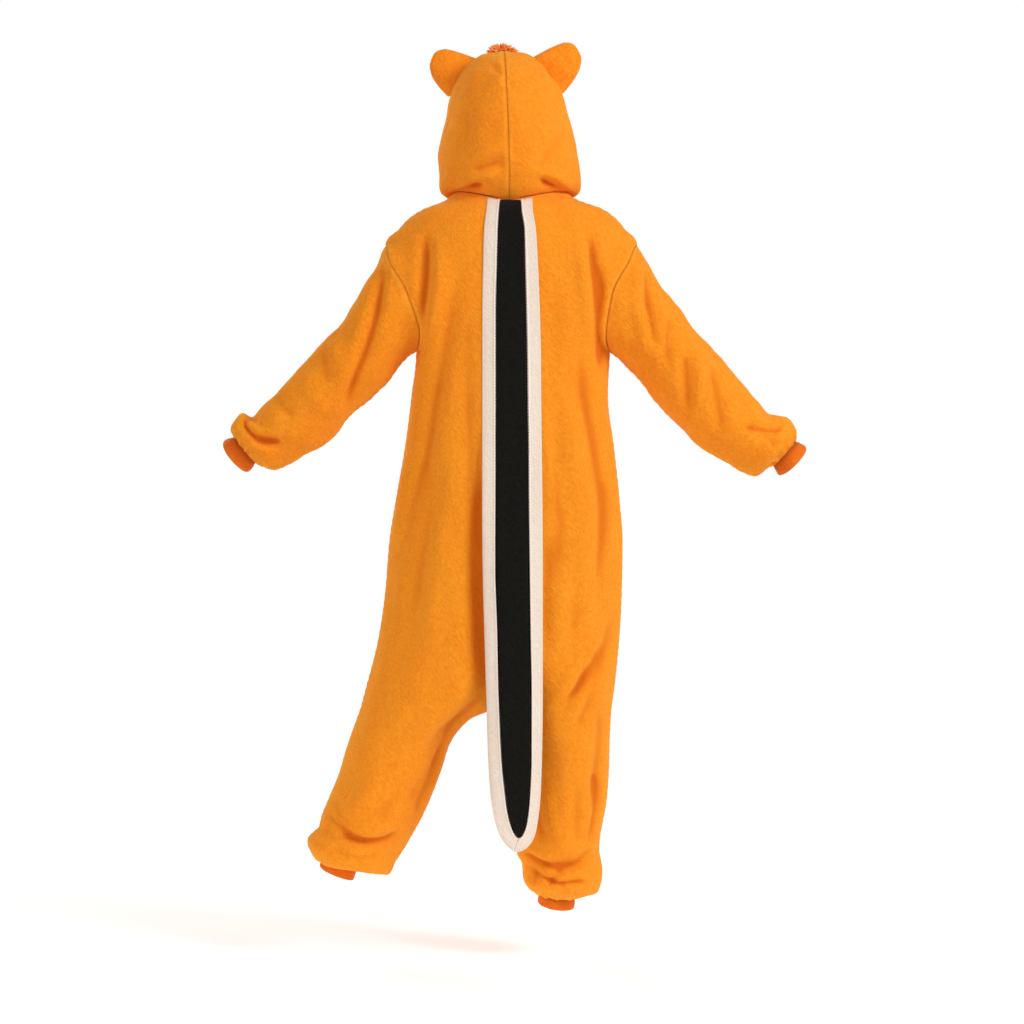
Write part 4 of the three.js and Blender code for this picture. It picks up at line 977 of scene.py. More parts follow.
def hood_half(side):
    levels = even_levels(lambda row, share: hood_form(side, row, share), 0, HOOD_TOP, (0.2, 0.6, 1.0))
    columns = np.linspace(0, 1, 84)
    form = hood_form(side, levels[:, None], columns[None, :])
    outward = -side
    facing = smooth(normals(form, outward)[..., 1] * 1.6)
    from_face, from_seam = run_across(form)
    along = run_along(form)
    to_top = along[-1:] - along
    free = smooth(from_seam / 16) * smooth(along / 9) * smooth(from_face / 20) * smooth(to_top / 18)
    folds = fold_height(form, HOOD_FOLDS) * facing * smooth(from_seam / 6) * smooth(along / 7)
    slow = hood_sway(form) * free
    sunk = seam_form(from_seam, along, 1.0) + seam_form(along, from_face, 3.0)
    to_face = np.minimum(from_face, to_top)
    hem = 1.1 * np.exp(-(((to_face - 9) / 8) ** 2)) - 1.0 * np.exp(-(((to_face - 22) / 3.5) ** 2))
    hem = hem * smooth(along / 10)
    grid = raised(form, folds + slow + sunk + hem, outward)
    shade = shaded_by(folds, seam_shade(from_seam) + seam_shade(along))
    cloth("hood_" + SIDES[side], grid, outward, form, shade)
    return grid


hoods = {side: hood_half(side) for side in SIDES}

# %% [markdown]
# An ear is two pieces of fleece sewn round their edge, turned out and stuffed a little, then sewn
# to the hood along its foot. Seen from behind its rim is a smooth line through a few points. From
# the foot to the rim each point moves in a straight line, and the thickness falls off as the
# square root of 1 - share squared, which is the edge of a lens.

# %% The ears
EARS = {
    "ear_left": {"side": LEFT, "y": -52, "from": 32, "to": 70, "rim": [
        [-45, 2], [-42, 22], [-35, 46], [-18, 66], [3, 72], [19, 64], [29, 47], [37, 26], [45, 2]]},
    "ear_right": {"side": RIGHT, "y": -52, "from": 35, "to": 70, "rim": [
        [-44.5, 2], [-42, 23], [-35, 50], [-17.5, 73], [6, 79], [21, 70.5], [31, 50], [38.5, 27],
        [45, 2]]},
}
EAR_THICKNESS = 15


def on_hood(side, y, angle, tries=40):
    """The place on the hood at a given y and angle round it, found by Newton's steps in the
    hood's row and share."""
    row, share = np.full(angle.shape, 6.3), np.full(angle.shape, 0.4)

    def miss(row, share):
        place = hood_form(side, row, share)
        turn = np.arctan2(place[..., 2] - 150, np.abs(place[..., 0] - hood_lean(place[..., 2])))
        return place[..., 1] - y, 100 * (turn - angle)

    small = 1e-3
    for _ in range(tries):
        a, b = miss(row, share)
        a_row, b_row = [(new - old) / small for new, old in zip(miss(row + small, share), (a, b))]
        a_share, b_share = [(new - old) / small for new, old in zip(miss(row, share + small), (a, b))]
        det = a_row * b_share - a_share * b_row
        row = row - 0.6 * (a * b_share - a_share * b) / det
        share = share - 0.6 * (a_row * b - a * b_row) / det
    return hood_form(side, row, share)


def ear(name):
    spec = EARS[name]
    side, count = spec["side"], 60
    t = np.linspace(0, 1, count)
    rim = np.array(spec["rim"], float)
    rim_at = [track(rim[:, k])(t * (len(rim) - 1)) for k in (0, 1)]
    angles = np.radians(mix(spec["from"], spec["to"], t))
    ends = on_hood(side, np.full(2, float(spec["y"])), angles[[0, -1]])
    middle = ends.mean(0)
    along = unit((ends[1] - ends[0]) * (1, 0, 1))
    away = np.array([side * abs(along[2]), 0, abs(along[0])])
    swell_in = np.sin(math.pi * np.clip(t, 0.004, 0.996)) ** 0.45
    shares = np.sin(np.linspace(0, math.pi / 2, 30))
    sheets = []
    for face in FACES:
        half = (EAR_THICKNESS / 2) * swell_in * np.sqrt(1 - 0.985 * shares[:, None] ** 2)
        half = half * (1 - 0.25 * np.exp(-(((1 - shares[:, None]) / 0.07) ** 2)))
        base = on_hood(side, spec["y"] + face * half[0], angles)
        base = base + away * (0.6 + hood_sway(base))[:, None]
        tip = (middle + rim_at[0][:, None] * along + (rim_at[1][:, None] + 4) * away)
        place = mix(base[None], tip[None], shares[:, None, None])
        place[..., 1] = (mix(base[None, :, 1] - face * half[0], tip[None, :, 1], shares[:, None])
                         + face * half - 10 * shares[:, None] ** 2)
        dimple = 1.3 * swell(place, 34, 31) * np.sin(math.pi * shares[:, None]) ** 0.7
        place[..., 1] += face * dimple
        sheets.append(place)
    ring = np.concatenate([sheets[0], sheets[1][::-1]]).transpose(1, 0, 2)
    rows, cols = ring.shape[:2]
    depth = np.zeros((rows, cols))
    # Painted shade along the sewn rim, where the two pieces meet.
    depth[:, 27:33] = 0.5
    piece = closed_piece(name, ring, quads_of(rows, cols, 1, True), orange_fleece,
                         unrolled(ring), depth)
    print(name, "of", rows, "by", cols, "points")


for name in EARS:
    ear(name)

# %% [markdown]
# A cuff is a tube of fine rib knit folded in two, so its rim is a soft round fold. Its profile is
# a closed line: up the outside, over the rim and back down the inside. Turned round the cuff's
# axis, it makes a ring with no open edge.

# %% The cuffs
RIB_WIDTH = 0.0026
rib = Finish("cuff_knit", 0.88, 0.25, (1.0, 0.6, 0.35), specular=0.15)
rib_place = rib.node("ShaderNodeSeparateXYZ", inputs={0: rib.places(uv=True)})
rib_turn = Value(rib, rib_place.outputs[0]) * (2 * math.pi / RIB_WIDTH)
rib_wave = rib_turn.maths("SINE", rib_turn)
rib_fuzz = rib.noise(rib.places(uv=True), 700, 3, 0.6)
rib_cloud = rib.noise(rib.places(), 45, 2, 0.5)
rib.bumped(rib_wave * 0.3 + rib_fuzz * 0.5, 0.5, 0.0009)
rib_tone = (rib_wave * 0.06 + rib_fuzz * 0.5 + rib_cloud * 0.5).clamped()
rib_base = rib.blend(rib_tone, linear("c9560c"), linear("f0841f"))
# Where the attribute is above 0 the knit is painted darker, as shade under the sleeve and inside the cuff.
cuff_knit = rib.coloured(rib.blend(rib.attribute("painted_shade_and_highlight"), rib_base, linear("8f2f06")))
CUFF_SHOWN, CUFF_HIDDEN = 20, 22
WRIST_RIM, ANKLE_RIM = 36.5, 33.5


def cuff(name):
    at, up, back, out = cuff_frame(name)
    near, far = (WRIST_RADIUS, WRIST_RIM) if name.startswith("wrist") else (ANKLE_RADIUS, ANKLE_RIM)
    # The depth column is painted shade: full where the cuff goes in under the cloth and down its inside, none
    # on its outer face and rim.
    profile = table("along radius depth", [
        [-CUFF_HIDDEN, near - 0.6, 1], [-8, near - 0.4, 1], [-1, near - 0.3, 1], [2, near, 0.7],
        [6, mix(near, far, 0.42), 0.2], [11, mix(near, far, 0.8), 0], [15.5, far + 0.4, 0],
        [18.4, far + 0.5, 0], [19.8, far - 0.5, 0], [20, far - 1.8, 0.1], [19.2, far - 3.0, 0.5],
        [16, far - 3.6, 0.9], [8, near - 2.8, 1], [-4, near - 3.4, 1], [-CUFF_HIDDEN, near - 3.4, 1]])
    rows = np.linspace(0, len(profile["along"]) - 1, 70)
    angles = np.linspace(0, 2 * math.pi, 110, endpoint=False)
    along, radius, depth = (track(column)(rows)[:, None] for column in profile.values())

    def placed(run, far_out):
        return (at + run[..., None] * out + (far_out * np.cos(angles))[..., None] * up
                + (far_out * np.sin(angles))[..., None] * back)

    plain = placed(along + 0 * angles, radius + 0 * angles)
    loose = smooth((along + 2) / 14)
    wobble = 1.1 * swell(plain, 46, 41) + 0.45 * swell(plain, 17, 42)
    longer = CUFFS[name]["reach"] * np.sin(angles) * np.clip(along / CUFF_SHOWN, 0, 1)
    grid = placed(along + longer + 0.8 * loose * np.sin(2 * angles + 1), radius + wobble * loose)
    uv = np.stack(np.broadcast_arrays(angles * far, (rows * 2.2)[:, None]), -1).reshape(-1, 2)
    piece = closed_piece(name, grid, ring_quads(*grid.shape[:2]), cuff_knit, uv,
                         np.broadcast_to(depth * 0.7, grid.shape[:2]))
    wide, tall = 2 * math.pi * far * MM, (CUFF_SHOWN + CUFF_HIDDEN) * MM
    built[name] = (piece, (wide, tall, wide * tall))


def ring_quads(rows, cols):
    """A tube's quads with its last ring joined to its first, so that its wall is one closed skin."""
    j = np.arange(cols)
    k = (j + 1) % cols
    last = (rows - 1) * cols
    return np.concatenate([quads_of(rows, cols, 1, True), np.stack([last + j, j, k, last + k], -1)])


for name in CUFFS:
    cuff(name)
print("cuffs", ", ".join(CUFFS))

# %% [markdown]
# Three bands run from the neck down the back and on into a free tail: black between two creams.
# They lie on the body's own form, so the first step is to ask that form for its y at any x and z.
# It is worked out once on a regular grid of x and z, and read between the grid's points.

# %% The body's form as a height over x and z
GRID_X = np.linspace(-80, 80, 41)
GRID_Z = np.linspace(29, -720, 376)


def middle_form(face, level, x):
    """The body at a level and an x near the middle: the share of the row that x has run gives the
    turn, whose cosine is the first cosine times 1 - share."""
    side = LEFT if x >= 0 else RIGHT
    of = body[side]
    depth = of[FACES[face]](level)
    in_arm, hole = armhole_at(side, face, level)
    start_x = np.where(in_arm, hole[:, 0], of["outX"](level))
    start_z = np.where(in_arm, hole[:, 2], of["outZ"](level))
    first = np.where(in_arm, np.arcsin(np.clip(hole[:, 1] / depth, -1, 1)), 0)
    share = np.clip((x - start_x) / (trunk["middle"](level) - start_x), 0, 1)
    turn = np.arccos(np.cos(first) * (1 - share))
    return depth * np.sin(turn), mix(start_z, trunk[FACES[face] + "Z"](level), share)


def height_over(face):
    levels = np.linspace(0, SEAT, 2400)
    columns = []
    for x in GRID_X:
        y, z = middle_form(face, levels, float(x))
        order = np.argsort(z)
        columns.append(np.interp(GRID_Z, z[order], y[order]))
    return np.array(columns)


MIDDLE_Y = {face: height_over(face) for face in FACES}


def form_y(face, x, z):
    """y read between the four grid points round each x and z."""
    i = np.clip((x - GRID_X[0]) / (GRID_X[1] - GRID_X[0]), 0, len(GRID_X) - 1.001)
    k = np.clip((z - GRID_Z[0]) / (GRID_Z[1] - GRID_Z[0]), 0, len(GRID_Z) - 1.001)
    i0, k0 = i.astype(int), k.astype(int)
    u, v = i - i0, k - k0
    grid = MIDDLE_Y[face]
    return ((grid[i0, k0] * (1 - u) + grid[i0 + 1, k0] * u) * (1 - v)
            + (grid[i0, k0 + 1] * (1 - u) + grid[i0 + 1, k0 + 1] * u) * v)


# %% [markdown]
# Each band is a table of its two edges, which turn round the tip at the tail's end. The cream ones
# meet there in a mitre. Across a band the outer face follows a profile: it rounds down at the free
# edge, rises in a soft roll beside the black, and sinks into the seam. The shell is closed, and
# further down it is filled: the strip thickens into a flat stuffed tail that hangs free.

# %% The stripe and the tail
BAND_COLUMNS = "aX aZ bX bZ"
CREAM_LEFT = table(BAND_COLUMNS, [
    [45, 11, 21.5, 6], [47, -13, 23.5, -15], [51, -50, 25.5, -50], [52.5, -110, 27, -110],
    [54, -197, 29, -197], [54, -284, 29, -284], [54, -371, 29, -371], [54, -458, 29, -458],
    [54, -559, 29, -559], [53, -659, 29, -659], [50, -774, 25.5, -774], [46.5, -889, 23, -889],
    [43, -1004, 18, -1004], [39.5, -1061, 12.5, -1061], [36, -1090, 9, -1090],
    [30.5, -1118, 3.5, -1118], [23, -1141, -2.5, -1135], [12.5, -1159, -8, -1144.5],
    [-1, -1171.5, -11.6, -1147.5]])
CREAM_RIGHT = table(BAND_COLUMNS, [
    [-37, 12, -15.5, 6], [-38, -13, -17, -15], [-43.5, -50, -22, -50], [-47, -110, -23.5, -110],
    [-50.5, -197, -25.5, -197], [-52.5, -284, -27, -284], [-53, -371, -28, -371],
    [-54, -458, -29, -458], [-55, -559, -29.5, -559], [-55.5, -659, -30.5, -659],
    [-55.5, -774, -32, -774], [-55.5, -889, -34, -889], [-54, -1004, -34, -1004],
    [-52, -1061, -32, -1061], [-50, -1090, -30, -1090], [-46.5, -1118, -26.5, -1118],
    [-42, -1141, -22, -1135], [-34, -1158, -17.5, -1143.5], [-23, -1169, -14.5, -1146.5],
    [-11.5, -1173.6, -12.9, -1147.6], [-2, -1172.5, -12.2, -1148]])
THICKNESS = table("z y middle edge", [
    [20, 0, 2.6, 2.4], [-284, 0, 2.6, 2.4], [-371, 118, 3, 2.6], [-458, 126, 5, 4],
    [-559, 135.5, 10, 6], [-659, 142.5, 15, 8], [-774, 144, 18, 9], [-889, 144.5, 20, 9],
    [-1004, 144.5, 20, 9], [-1061, 144, 18, 8.5], [-1090, 143.5, 16, 8], [-1118, 143, 13, 7.5],
    [-1147, 143, 10, 7], [-1180, 143, 8, 6]])
MIDDLE_X = table("z x", [
    [20, 4], [-10, 5], [-50, 5], [-110, 3], [-197, 2], [-284, 1], [-371, 0.5], [-458, 0], [-559, 0],
    [-659, -1], [-774, -3], [-889, -5], [-1004, -6], [-1061, -8], [-1090, -10], [-1118, -12],
    [-1174, -12.6]])
LEAVES, FREE = -400, -500 # the strip starts to lift off the back, and hangs clear of it
ROLL_HEIGHT = 1.7 # of the cream, beside its seam with the black
BAND_STEP = 3.6 # the mesh's step along a band
CREAM_SHARES = [0, 0.012, 0.035, 0.07, 0.12, 0.18, 0.26, 0.36, 0.46, 0.56, 0.66, 0.74, 0.8, 0.85,
                0.89, 0.93, 0.965, 0.985, 1]
BLACK_SHARES = [0, 0.012, 0.03, 0.055, 0.09, 0.14, 0.2, 0.28, 0.38, 0.5, 0.62, 0.72, 0.8, 0.86,
                0.91, 0.945, 0.97, 0.988, 1]


def at_height(of, column, z):
    """A column of a table at a height, smooth between its rows."""
    row = np.interp(-z, -of["z"], np.arange(len(of["z"])))
    return track(of[column])(row)


def body_side(x, z):
    """The y of a band's body side: on the back, then over to its own y as it comes free."""
    on_back = form_y(BACK, x, z) + 0.5
    return mix(on_back, at_height(THICKNESS, "y", z), smooth((LEAVES - z) / (LEAVES - FREE)))


def band_edges(of, rows):
    return [track(of[key])(rows) for key in BAND_COLUMNS.split()]


def band_rows(of):
    """Row numbers a step apart along the band's two edges."""
    dense = np.linspace(0, len(of["aX"]) - 1, 2000)
    ax, az, bx, bz = band_edges(of, dense)
    steps = np.maximum(np.hypot(np.diff(ax), np.diff(az)), np.hypot(np.diff(bx), np.diff(bz)))
    return paced(dense, steps, BAND_STEP)


def firmness(z):
    """0 on the back, 1 down the tail, where the strip is stuffed."""
    return smooth((LEAVES - z) / 160)


def stripe_swell(x, z):
    """Slow unevenness that the three bands share, so that they stay level where they meet."""
    place, firm = points(x, 0 * x, z), firmness(z)
    return (0.5 + 1.4 * firm) * swell(place, 130, 51) + (0.25 + 0.35 * firm) * swell(place, 42, 52)


def band(name, of, shares, profile, material):
    """A closed band: its outer face, then its body side from the far edge back to the first."""
    shares = np.array(shares)[None, :]
    ax, az, bx, bz = (edge[:, None] for edge in band_edges(of, band_rows(of)))
    x, z = mix(ax, bx, shares), mix(az, bz, shares)
    half = np.interp(-z, [-20, 110, 458, 1004, 1090, 1130, 1174], [41, 50, 54, 48.5, 43, 34, 20])
    round_off = np.clip(1 - ((x - at_height(MIDDLE_X, "x", z)) / half) ** 2, 0, 1)
    thick = mix(at_height(THICKNESS, "edge", z), at_height(THICKNESS, "middle", z), round_off)
    inner = points(x, body_side(x, z), z)
    outward = 1 if normals(inner, 1)[..., 1].mean() > 0 else -1
    shape = profile(shares, thick)
    outer = raised(inner, shape * thick + stripe_swell(x, z) * np.minimum(shape, 1), outward)
    sag = 0.22 * firmness(z) * thick * np.sin(math.pi * shares) ** 0.6
    ring = np.concatenate([outer, raised(inner, -sag, outward)[:, ::-1]], 1)
    # Painted shade where the face sinks into a seam, and a painted highlight on the cream's roll beside the
    # black.
    seam = painted_shade_and_highlight((shape - 1) * 3.0) - np.clip((shape - 1) * thick / ROLL_HEIGHT, 0, 1) * 0.8
    depth = np.concatenate([seam, np.zeros(x.shape)], 1)
    piece = closed_piece(name, ring, quads_of(*ring.shape[:2], outward, True), material,
                         unrolled(ring), depth)
    print(name, ring.shape[:2])
    return outer


def cream_profile(shares, thick):
    """1 over most of the width; a quarter circle and a line of stitches at the free edge; a roll
    near the black, then a seam sunk to a third."""
    free_edge = np.sqrt(np.clip(1 - (1 - np.clip(shares / 0.14, 0, 1)) ** 2, 0, 1))
    stitched = 1 - (0.5 / thick) * np.exp(-(((shares - 0.17) / 0.035) ** 2))
    roll = 1 + (ROLL_HEIGHT / thick) * np.exp(-(((shares - 0.9) / 0.06) ** 2))
    seam = 1 - 0.72 * np.exp(-(((1 - shares) / 0.04) ** 2))
    return np.maximum(free_edge * stitched * roll * seam, 0.08)


def black_profile(shares, thick):
    """1 over most of the width, sunk to a third at each seam, with a faint pressed line inside."""
    edge = np.minimum(shares, 1 - shares)
    seam = 1 - 0.66 * np.exp(-((edge / 0.03) ** 2))
    pressed = 1 - (0.4 / thick) * np.exp(-(((edge - 0.1) / 0.02) ** 2))
    return np.maximum(seam * pressed, 0.1)


def with_gap(of, shift):
    """A band's columns with the edge beside the black moved sideways by the seam's gap."""
    return {**of, "bX": of["bX"] + shift}


BLACK_BAND = table(BAND_COLUMNS, [
    *zip(CREAM_LEFT["bX"][:17], CREAM_LEFT["bZ"][:17], CREAM_RIGHT["bX"][:17], CREAM_RIGHT["bZ"][:17]),
    [-8, -1144.2, -17.3, -1143.2], [-11.2, -1146.6, -14.2, -1146.3]])
creams = {name: band("stripe_cream_" + name, with_gap(of, shift), CREAM_SHARES, cream_profile,
                     cream_fleece)
          for name, of, shift in (("left", CREAM_LEFT, 0.15), ("right", CREAM_RIGHT, -0.15))}
band("stripe_black", BLACK_BAND, BLACK_SHARES, black_profile, black_fleece)

# %% [markdown]
# The sewing shows up close. A row of stitches is a line on a finished surface, cut into equal
# lengths with a gap between them. One stitch is a thin bar of thread that rises a little in its
# middle and dips into the cloth at both ends. The black panel is sewn in with short stitches across
# its edge, which nick the rolled edge of the cream.

# %% The stitches
def thread(name, colours, starts, ends, up, rise, radius):
    """Bars from starts to ends. A bar's middle is rise higher than its ends, by a half sine, and
    its radius falls to nothing at the ends by the sixth power."""
    finish = Finish(name, 0.8, specular=0.2)
    tone = finish.noise(finish.places(), 1500, 2, 0.5)
    dyed = finish.coloured(finish.blend(tone, *(linear(colour) for colour in colours.split())))
    rings, around = 7, 6
    s = np.linspace(0, 1, rings)[None, :, None]
    way = unit(ends - starts)
    up = unit(up - way * (up * way).sum(-1)[:, None])
    side = np.cross(way, up)
    line = mix(starts[:, None], ends[:, None], s) + up[:, None] * rise * np.sin(math.pi * s)
    angle = np.linspace(0, 2 * math.pi, around, endpoint=False)[None, None, :]
    thin = radius * np.sqrt(1.02 - (2 * s - 1) ** 6)
    skin = (line[:, :, None] + (thin * np.cos(angle))[..., None] * side[:, None, None]
            + (thin * np.sin(angle))[..., None] * up[:, None, None])
    closed_piece(name, skin, many_tubes(len(starts), rings, around), dyed, replaces=False)
    print(name, len(starts), "stitches")


def cut_up(route, long, gap):
    """A route cut into stitches and gaps: where each stitch starts, as the way run, and how to read
    values kept along the route at any way run."""
    run = run_of(length(np.diff(route, axis=0)))

    def read(values, at):
        return np.stack([np.interp(at, run, values[:, k]) for k in range(3)], -1)

    return np.arange(gap, run[-1] - long - gap, long + gap), read


BACKWARDS = np.array((0, 1.0, 0))
BLACK_STITCH, BLACK_GAP = 1.2, 4.6
CREAM_STITCH, CREAM_GAP = 3.0, 1.3


def panel_stitches(name, face):
    """Short black stitches over the seam, from the roll of the cream to just inside the black."""
    roll, seam = face[:, CREAM_SHARES.index(0.93)], face[:, -1]
    starts, read = cut_up(roll, BLACK_STITCH, BLACK_GAP)
    last = read(seam + unit(seam - roll) * 1.1, starts)
    first = mix(read(roll, starts), last, 0.12) + BACKWARDS * 0.1
    up = np.broadcast_to(BACKWARDS, first.shape)
    thread(name, "0c0c0b 1c1c1a", first, last + BACKWARDS * 0.5, up, 0.4, 0.7)


def running_stitches(name, face, outward):
    """A line of stitches in the cream, along its free edge."""
    column = CREAM_SHARES.index(0.18)
    route, normal = face[:, column], normals(face, outward)[:, column]
    starts, read = cut_up(route, CREAM_STITCH, CREAM_GAP)
    ends, up = read(route, starts + CREAM_STITCH), unit(read(normal, starts + CREAM_STITCH / 2))
    thread(name, "d9c2ab efe0cf", read(route, starts), ends, up, 0.3, 0.28)


for side, side_name in SIDES.items():
    panel_stitches("black_thread_" + side_name, creams[side_name])
for side, side_name in SIDES.items():
    running_stitches("cream_thread_" + side_name, creams[side_name], side)

# The turned-in edges of the hood's centre seam fill what its two halves leave open between them.
# Their darker orange is painted shade inside the seam.
seam_inside = normals(hoods[LEFT], -LEFT)[:, -1]
seam_route = hoods[LEFT][:, -1] - seam_inside * 1.9
thread("hood_seam_edges", "a84a08 c9600f", seam_route[:-2], seam_route[2:],
       seam_inside[:-2], 0.0, 1.3)

# %% [markdown]
# The tuft on the crown is a bunch of soft two-ply yarn. One strand is a round section carried
# along a curve that leans over under its own weight, with a radius of 1 + 0.16 cos(2(angle - twist))
# so that the two plies show. All strands are worked out at once, with the strand as one more axis.

# %% The tuft of yarn
yarn = Finish("yarn", 0.95, 0.35, (1.0, 0.6, 0.35), specular=0.1)
yarn_fibre = yarn.noise(yarn.places(), 900, 3, 0.65)
yarn_cloud = yarn.noise(yarn.places(), 160, 2, 0.5)
yarn.bumped(yarn_fibre, 0.6, 0.0006)
yarn_tone = yarn.blend((yarn_fibre * 0.5 + yarn_cloud * 0.6 - 0.05).clamped(),
                       linear("f48a34"), linear("ffac5a"))
# Where the attribute is above 0 the yarn is painted darker, as shade down among the strands.
yarn_finish = yarn.coloured(yarn.blend(yarn.attribute("painted_shade_and_highlight"), yarn_tone, linear("b84a0c")))
TUFT = {"x": 19, "y": -34, "strands": 92, "backing": 12, "radius": 1.5}


def crown_height(x, y):
    """The height of the hood's crown: the highest point within the tuft's backing."""
    rows, shares = np.linspace(6, HOOD_TOP, 90)[:, None], np.linspace(0.4, 1, 90)[None, :]
    places = np.concatenate([hood_form(side, rows, shares).reshape(-1, 3) for side in SIDES])
    near = np.hypot(places[:, 0] - x, places[:, 1] - y) < TUFT["backing"]
    return places[near, 2].max()


def tuft():
    crown = crown_height(TUFT["x"], TUFT["y"])
    count, rings, around = TUFT["strands"], 13, 10
    i = np.arange(count)[:, None, None]
    share = (i + 0.5) / count
    draw = np.random.default_rng(7)
    lean = 1.32 * np.sqrt(share) + draw.normal(0, 0.1, (count, 1, 1))
    turn = i * 2.39996 + draw.normal(0, 0.18, (count, 1, 1))
    far = TUFT["backing"] * 0.75 * np.sqrt(share)
    tall = mix(21, 27, share) * draw.uniform(0.85, 1.08, (count, 1, 1))
    s = np.linspace(0, 1, rings)[None, :, None]
    sag = tall * 0.24 * s**2.2 * np.sin(np.clip(lean, 0, 1.5))
    run = far + tall * s * np.sin(lean)
    bend = draw.normal(0, 0.22, (count, 1, 1)) * s**2
    centre = points(TUFT["x"] + run * np.cos(turn + bend), TUFT["y"] + run * np.sin(turn + bend),
                    crown + 1.2 + tall * s * np.cos(lean) - sag)
    way = unit(np.gradient(centre[:, :, 0], axis=1))[:, :, None, :]
    side = unit(np.cross(way, (0.3, 0.2, 1.0)))
    other = np.cross(way, side)
    angle = np.linspace(0, 2 * math.pi, around, endpoint=False)[None, None, :]
    tip = np.sqrt(np.clip(1 - np.clip((s - 0.9) / 0.1, 0, 1) ** 2, 0.02, 1))
    plies = 1 + 0.16 * np.cos(2 * (angle - 9 * s))
    radius = TUFT["radius"] * tip * plies
    skin = centre + radius[..., None] * (np.cos(angle)[..., None] * side + np.sin(angle)[..., None] * other)
    # Painted shade low among the strands, darkest at their roots and gone before half their length.
    depth = np.broadcast_to(smooth(1 - 2.2 * s), (count, rings, around))
    closed_piece("tuft", skin, many_tubes(count, rings, around), yarn_finish, None, depth)
    print("tuft", count, "strands on a crown", round(float(crown), 1), "mm high")


tuft()

# %% [markdown]
# The front closes with a folded band and five buttons, which the photographed side doesn't show. The
# band lies on the body's form as the stripe does. A button is a turned profile: a rim, a dished
# middle and a flat back.

# %% The button band and its buttons
BAND_WIDTH, BAND_TOP, BAND_END = 30, -52, -660
BAND_SHARES = [0, 0.02, 0.05, 0.1, 0.14, 0.2, 0.35, 0.5, 0.65, 0.8, 0.86, 0.9, 0.95, 0.98, 1]
band_track = track([4, 4, 1, 0, 0, -1])


def band_x(z):
    """The middle of the band, which follows the front's middle seam."""
    return band_track((-z - 50) / 122)


def button_band():
    shares = np.array(BAND_SHARES)[None, :]
    z = np.linspace(BAND_TOP, BAND_END, 170)[:, None] + 0 * shares
    x = mix(BAND_WIDTH / 2, -BAND_WIDTH / 2, shares) + band_x(z)
    inner = points(x, form_y(FRONT, x, z) - 0.6, z)
    outward = 1 if normals(inner, 1)[..., 1].mean() < 0 else -1
    edge = np.minimum(shares, 1 - shares)
    thick = FLEECE * np.sqrt(np.clip(1 - (1 - np.clip(edge / 0.08, 0, 1)) ** 2, 0.02, 1))
    thick = thick * (1 - 0.25 * np.exp(-(((edge - 0.14) / 0.025) ** 2))) + 0.25 * swell(inner, 40, 61)
    outer = raised(inner, thick, outward)
    ring = np.concatenate([outer, inner[:, ::-1]], 1)
    piece = closed_piece("button_band", ring, quads_of(*ring.shape[:2], outward, True), orange_fleece,
                         uv=unrolled(ring))
    built["button_band"] = (piece, flat_cut(outer))


button_band()
resin = Finish("button_resin", 0.38, 0.0, specular=0.5)
resin_cloud = resin.noise(resin.places(), 260, 3, 0.6, 1.0)
resin_finish = resin.coloured(resin.blend(resin_cloud, linear("a85512"), linear("d88434")))
BUTTON_HEIGHTS = [-112, -240, -368, -496, -624]
BUTTON_PROFILE = table("radius height", [
    [0.05, 1.6], [2.4, 1.55], [4.6, 1.7], [6.0, 2.1], [7.0, 2.9], [7.8, 3.2], [8.5, 3.0],
    [9.0, 2.2], [9.0, 1.2], [8.5, 0.5], [7.5, 0.15], [4, 0.05], [0.05, 0.05]])
BUTTON_SEAT = 3.6 # how far a button's back stands off the front's own form


def button(number, z):
    """A profile turned round the band's own normal at that height, with four holes in its dish."""
    x = float(band_x(z))
    seat = [np.array([x, float(form_y(FRONT, np.array(x), np.array(h))), h]) for h in (z + 5, z, z - 5)]
    down = unit(seat[2] - seat[0])
    facing = unit(np.cross(down, (1, 0, 0)))
    facing = facing if facing[1] < 0 else -facing
    side = unit(np.cross(down, facing))
    rows = np.linspace(0, len(BUTTON_PROFILE["radius"]) - 1, 44)[:, None]
    angle = np.linspace(0, 2 * math.pi, 48, endpoint=False)[None, :]
    radius, height = (track(column)(rows) for column in BUTTON_PROFILE.values())
    across, along = radius * np.cos(angle), radius * np.sin(angle)
    holes = sum(np.exp(-(((across - cx) ** 2 + (along - cy) ** 2) / 0.55))
                for cx in (-2, 2) for cy in (-2, 2)) * (rows < 16)
    height = height - 1.3 * holes
    centre = seat[1] + facing * BUTTON_SEAT
    grid = centre + across[..., None] * side + along[..., None] * down + height[..., None] * facing
    closed_piece(f"button_{number}", grid, quads_of(*grid.shape[:2], 1, True), resin_finish,
                 None, np.clip(holes, 0, 1))


for number, z in enumerate(BUTTON_HEIGHTS, 1):
    button(number, z)
print("buttons at", BUTTON_HEIGHTS)

# %% [markdown]
# The cut of each piece of thin cloth is printed: its width, its length and its flat area,
# measured on its form before the folds were pressed in.

# %% The cuts of the cloth
for name, (piece, (width, tall, area)) in built.items():
    if name.endswith(("left", "right")) and not name.startswith(("wrist", "ankle")):
        kind, side = name.split("_")
    elif name == "button_band":
        min(area, width * tall)
    else:
        min(area, width * tall)
    print(f"{name}: {width:.3f} x {tall:.3f} m, {area:.3f} m2")

# %% [markdown]
# A plain pale floor that fades out into white, a large soft light from the upper right of the view,
# a weaker and wider one from the left, one for the front, and a long lens five metres behind.

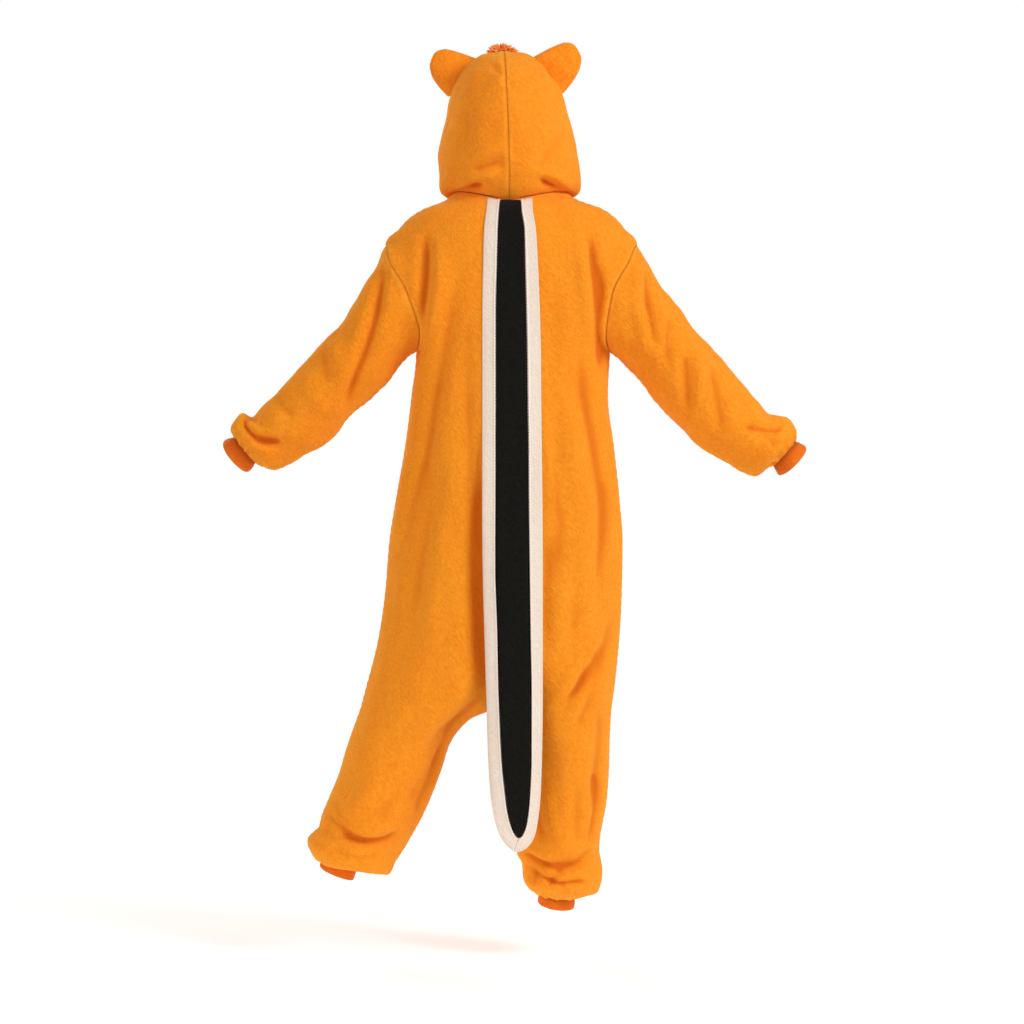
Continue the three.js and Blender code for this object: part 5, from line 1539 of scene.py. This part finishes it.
# %% Floor, light and camera
FLOOR = -1387 * MM
bpy.ops.mesh.primitive_plane_add(size=40, location=(0, 0, FLOOR))
floor = bpy.context.object
floor.name = "floor"
paper = Finish("pale_floor", 0.9)
paper_place = paper.node("ShaderNodeSeparateXYZ", inputs={0: paper.places((1, 1, 0))})
from_middle = (Value(paper, paper_place.outputs[0]) ** 2 + Value(paper, paper_place.outputs[1]) ** 2) ** 0.5
paper.feed(paper.shader.inputs["Alpha"], 1 - paper.ramp(from_middle, 0.6, 2.6))
paper.shader.inputs["Emission Color"].default_value = (1, 1, 1, 1)
paper.shader.inputs["Emission Strength"].default_value = 0.3
floor.data.materials.append(paper.coloured((0.9, 0.9, 0.9, 1)))

world = bpy.data.worlds.new("studio")
bpy.context.scene.world = world
world.use_nodes = True
nodes, joins = world.node_tree.nodes, world.node_tree.links
warm = nodes["Background"]
warm.inputs["Color"].default_value = (1, 0.87, 0.8, 1)
warm.inputs["Strength"].default_value = 0.5
white = nodes.new("ShaderNodeBackground")
white.inputs["Color"].default_value = (1, 1, 1, 1)
ray = nodes.new("ShaderNodeLightPath")
chosen = nodes.new("ShaderNodeMixShader")
joins.new(ray.outputs["Is Camera Ray"], chosen.inputs[0])
joins.new(warm.outputs[0], chosen.inputs[1])
joins.new(white.outputs[0], chosen.inputs[2])
joins.new(chosen.outputs[0], nodes["World Output"].inputs[0])


def softbox(name, place, target, size, power, colour=(1, 1, 1)):
    """A square area light that faces its target."""
    data = bpy.data.lights.new(name, "AREA")
    data.size = size
    data.energy = power
    data.color = colour
    lamp = bpy.data.objects.new(name, data)
    lamp.location = place
    way = np.array(target, float) - np.array(place, float)
    lamp.rotation_euler = (math.atan2(math.hypot(way[0], way[1]), -way[2]), 0,
                           math.atan2(way[0], -way[1]) + math.pi)
    bpy.context.scene.collection.objects.link(lamp)


softbox("key", (-3.0, 2.4, 1.5), (0, 0, -0.5), 1.5, 118)
softbox("fill", (3.2, 3.0, 0.6), (0, 0, -0.6), 2.6, 50, (1, 0.93, 0.87))
softbox("front", (2.0, -3.2, 1.6), (0, 0, -0.5), 2.4, 70)

CAMERA_AWAY, CAMERA_HEIGHT = 5.0, -0.5624
camera_data = bpy.data.cameras.new("camera")
camera_data.lens = 95
camera_data.sensor_width = 36
camera = bpy.data.objects.new("camera", camera_data)
camera.location = (0, CAMERA_AWAY, CAMERA_HEIGHT)
camera.rotation_euler = (math.radians(90), 0, math.radians(180))
bpy.context.scene.collection.objects.link(camera)
bpy.context.scene.camera = camera
bpy.context.scene.view_settings.view_transform = "Standard"
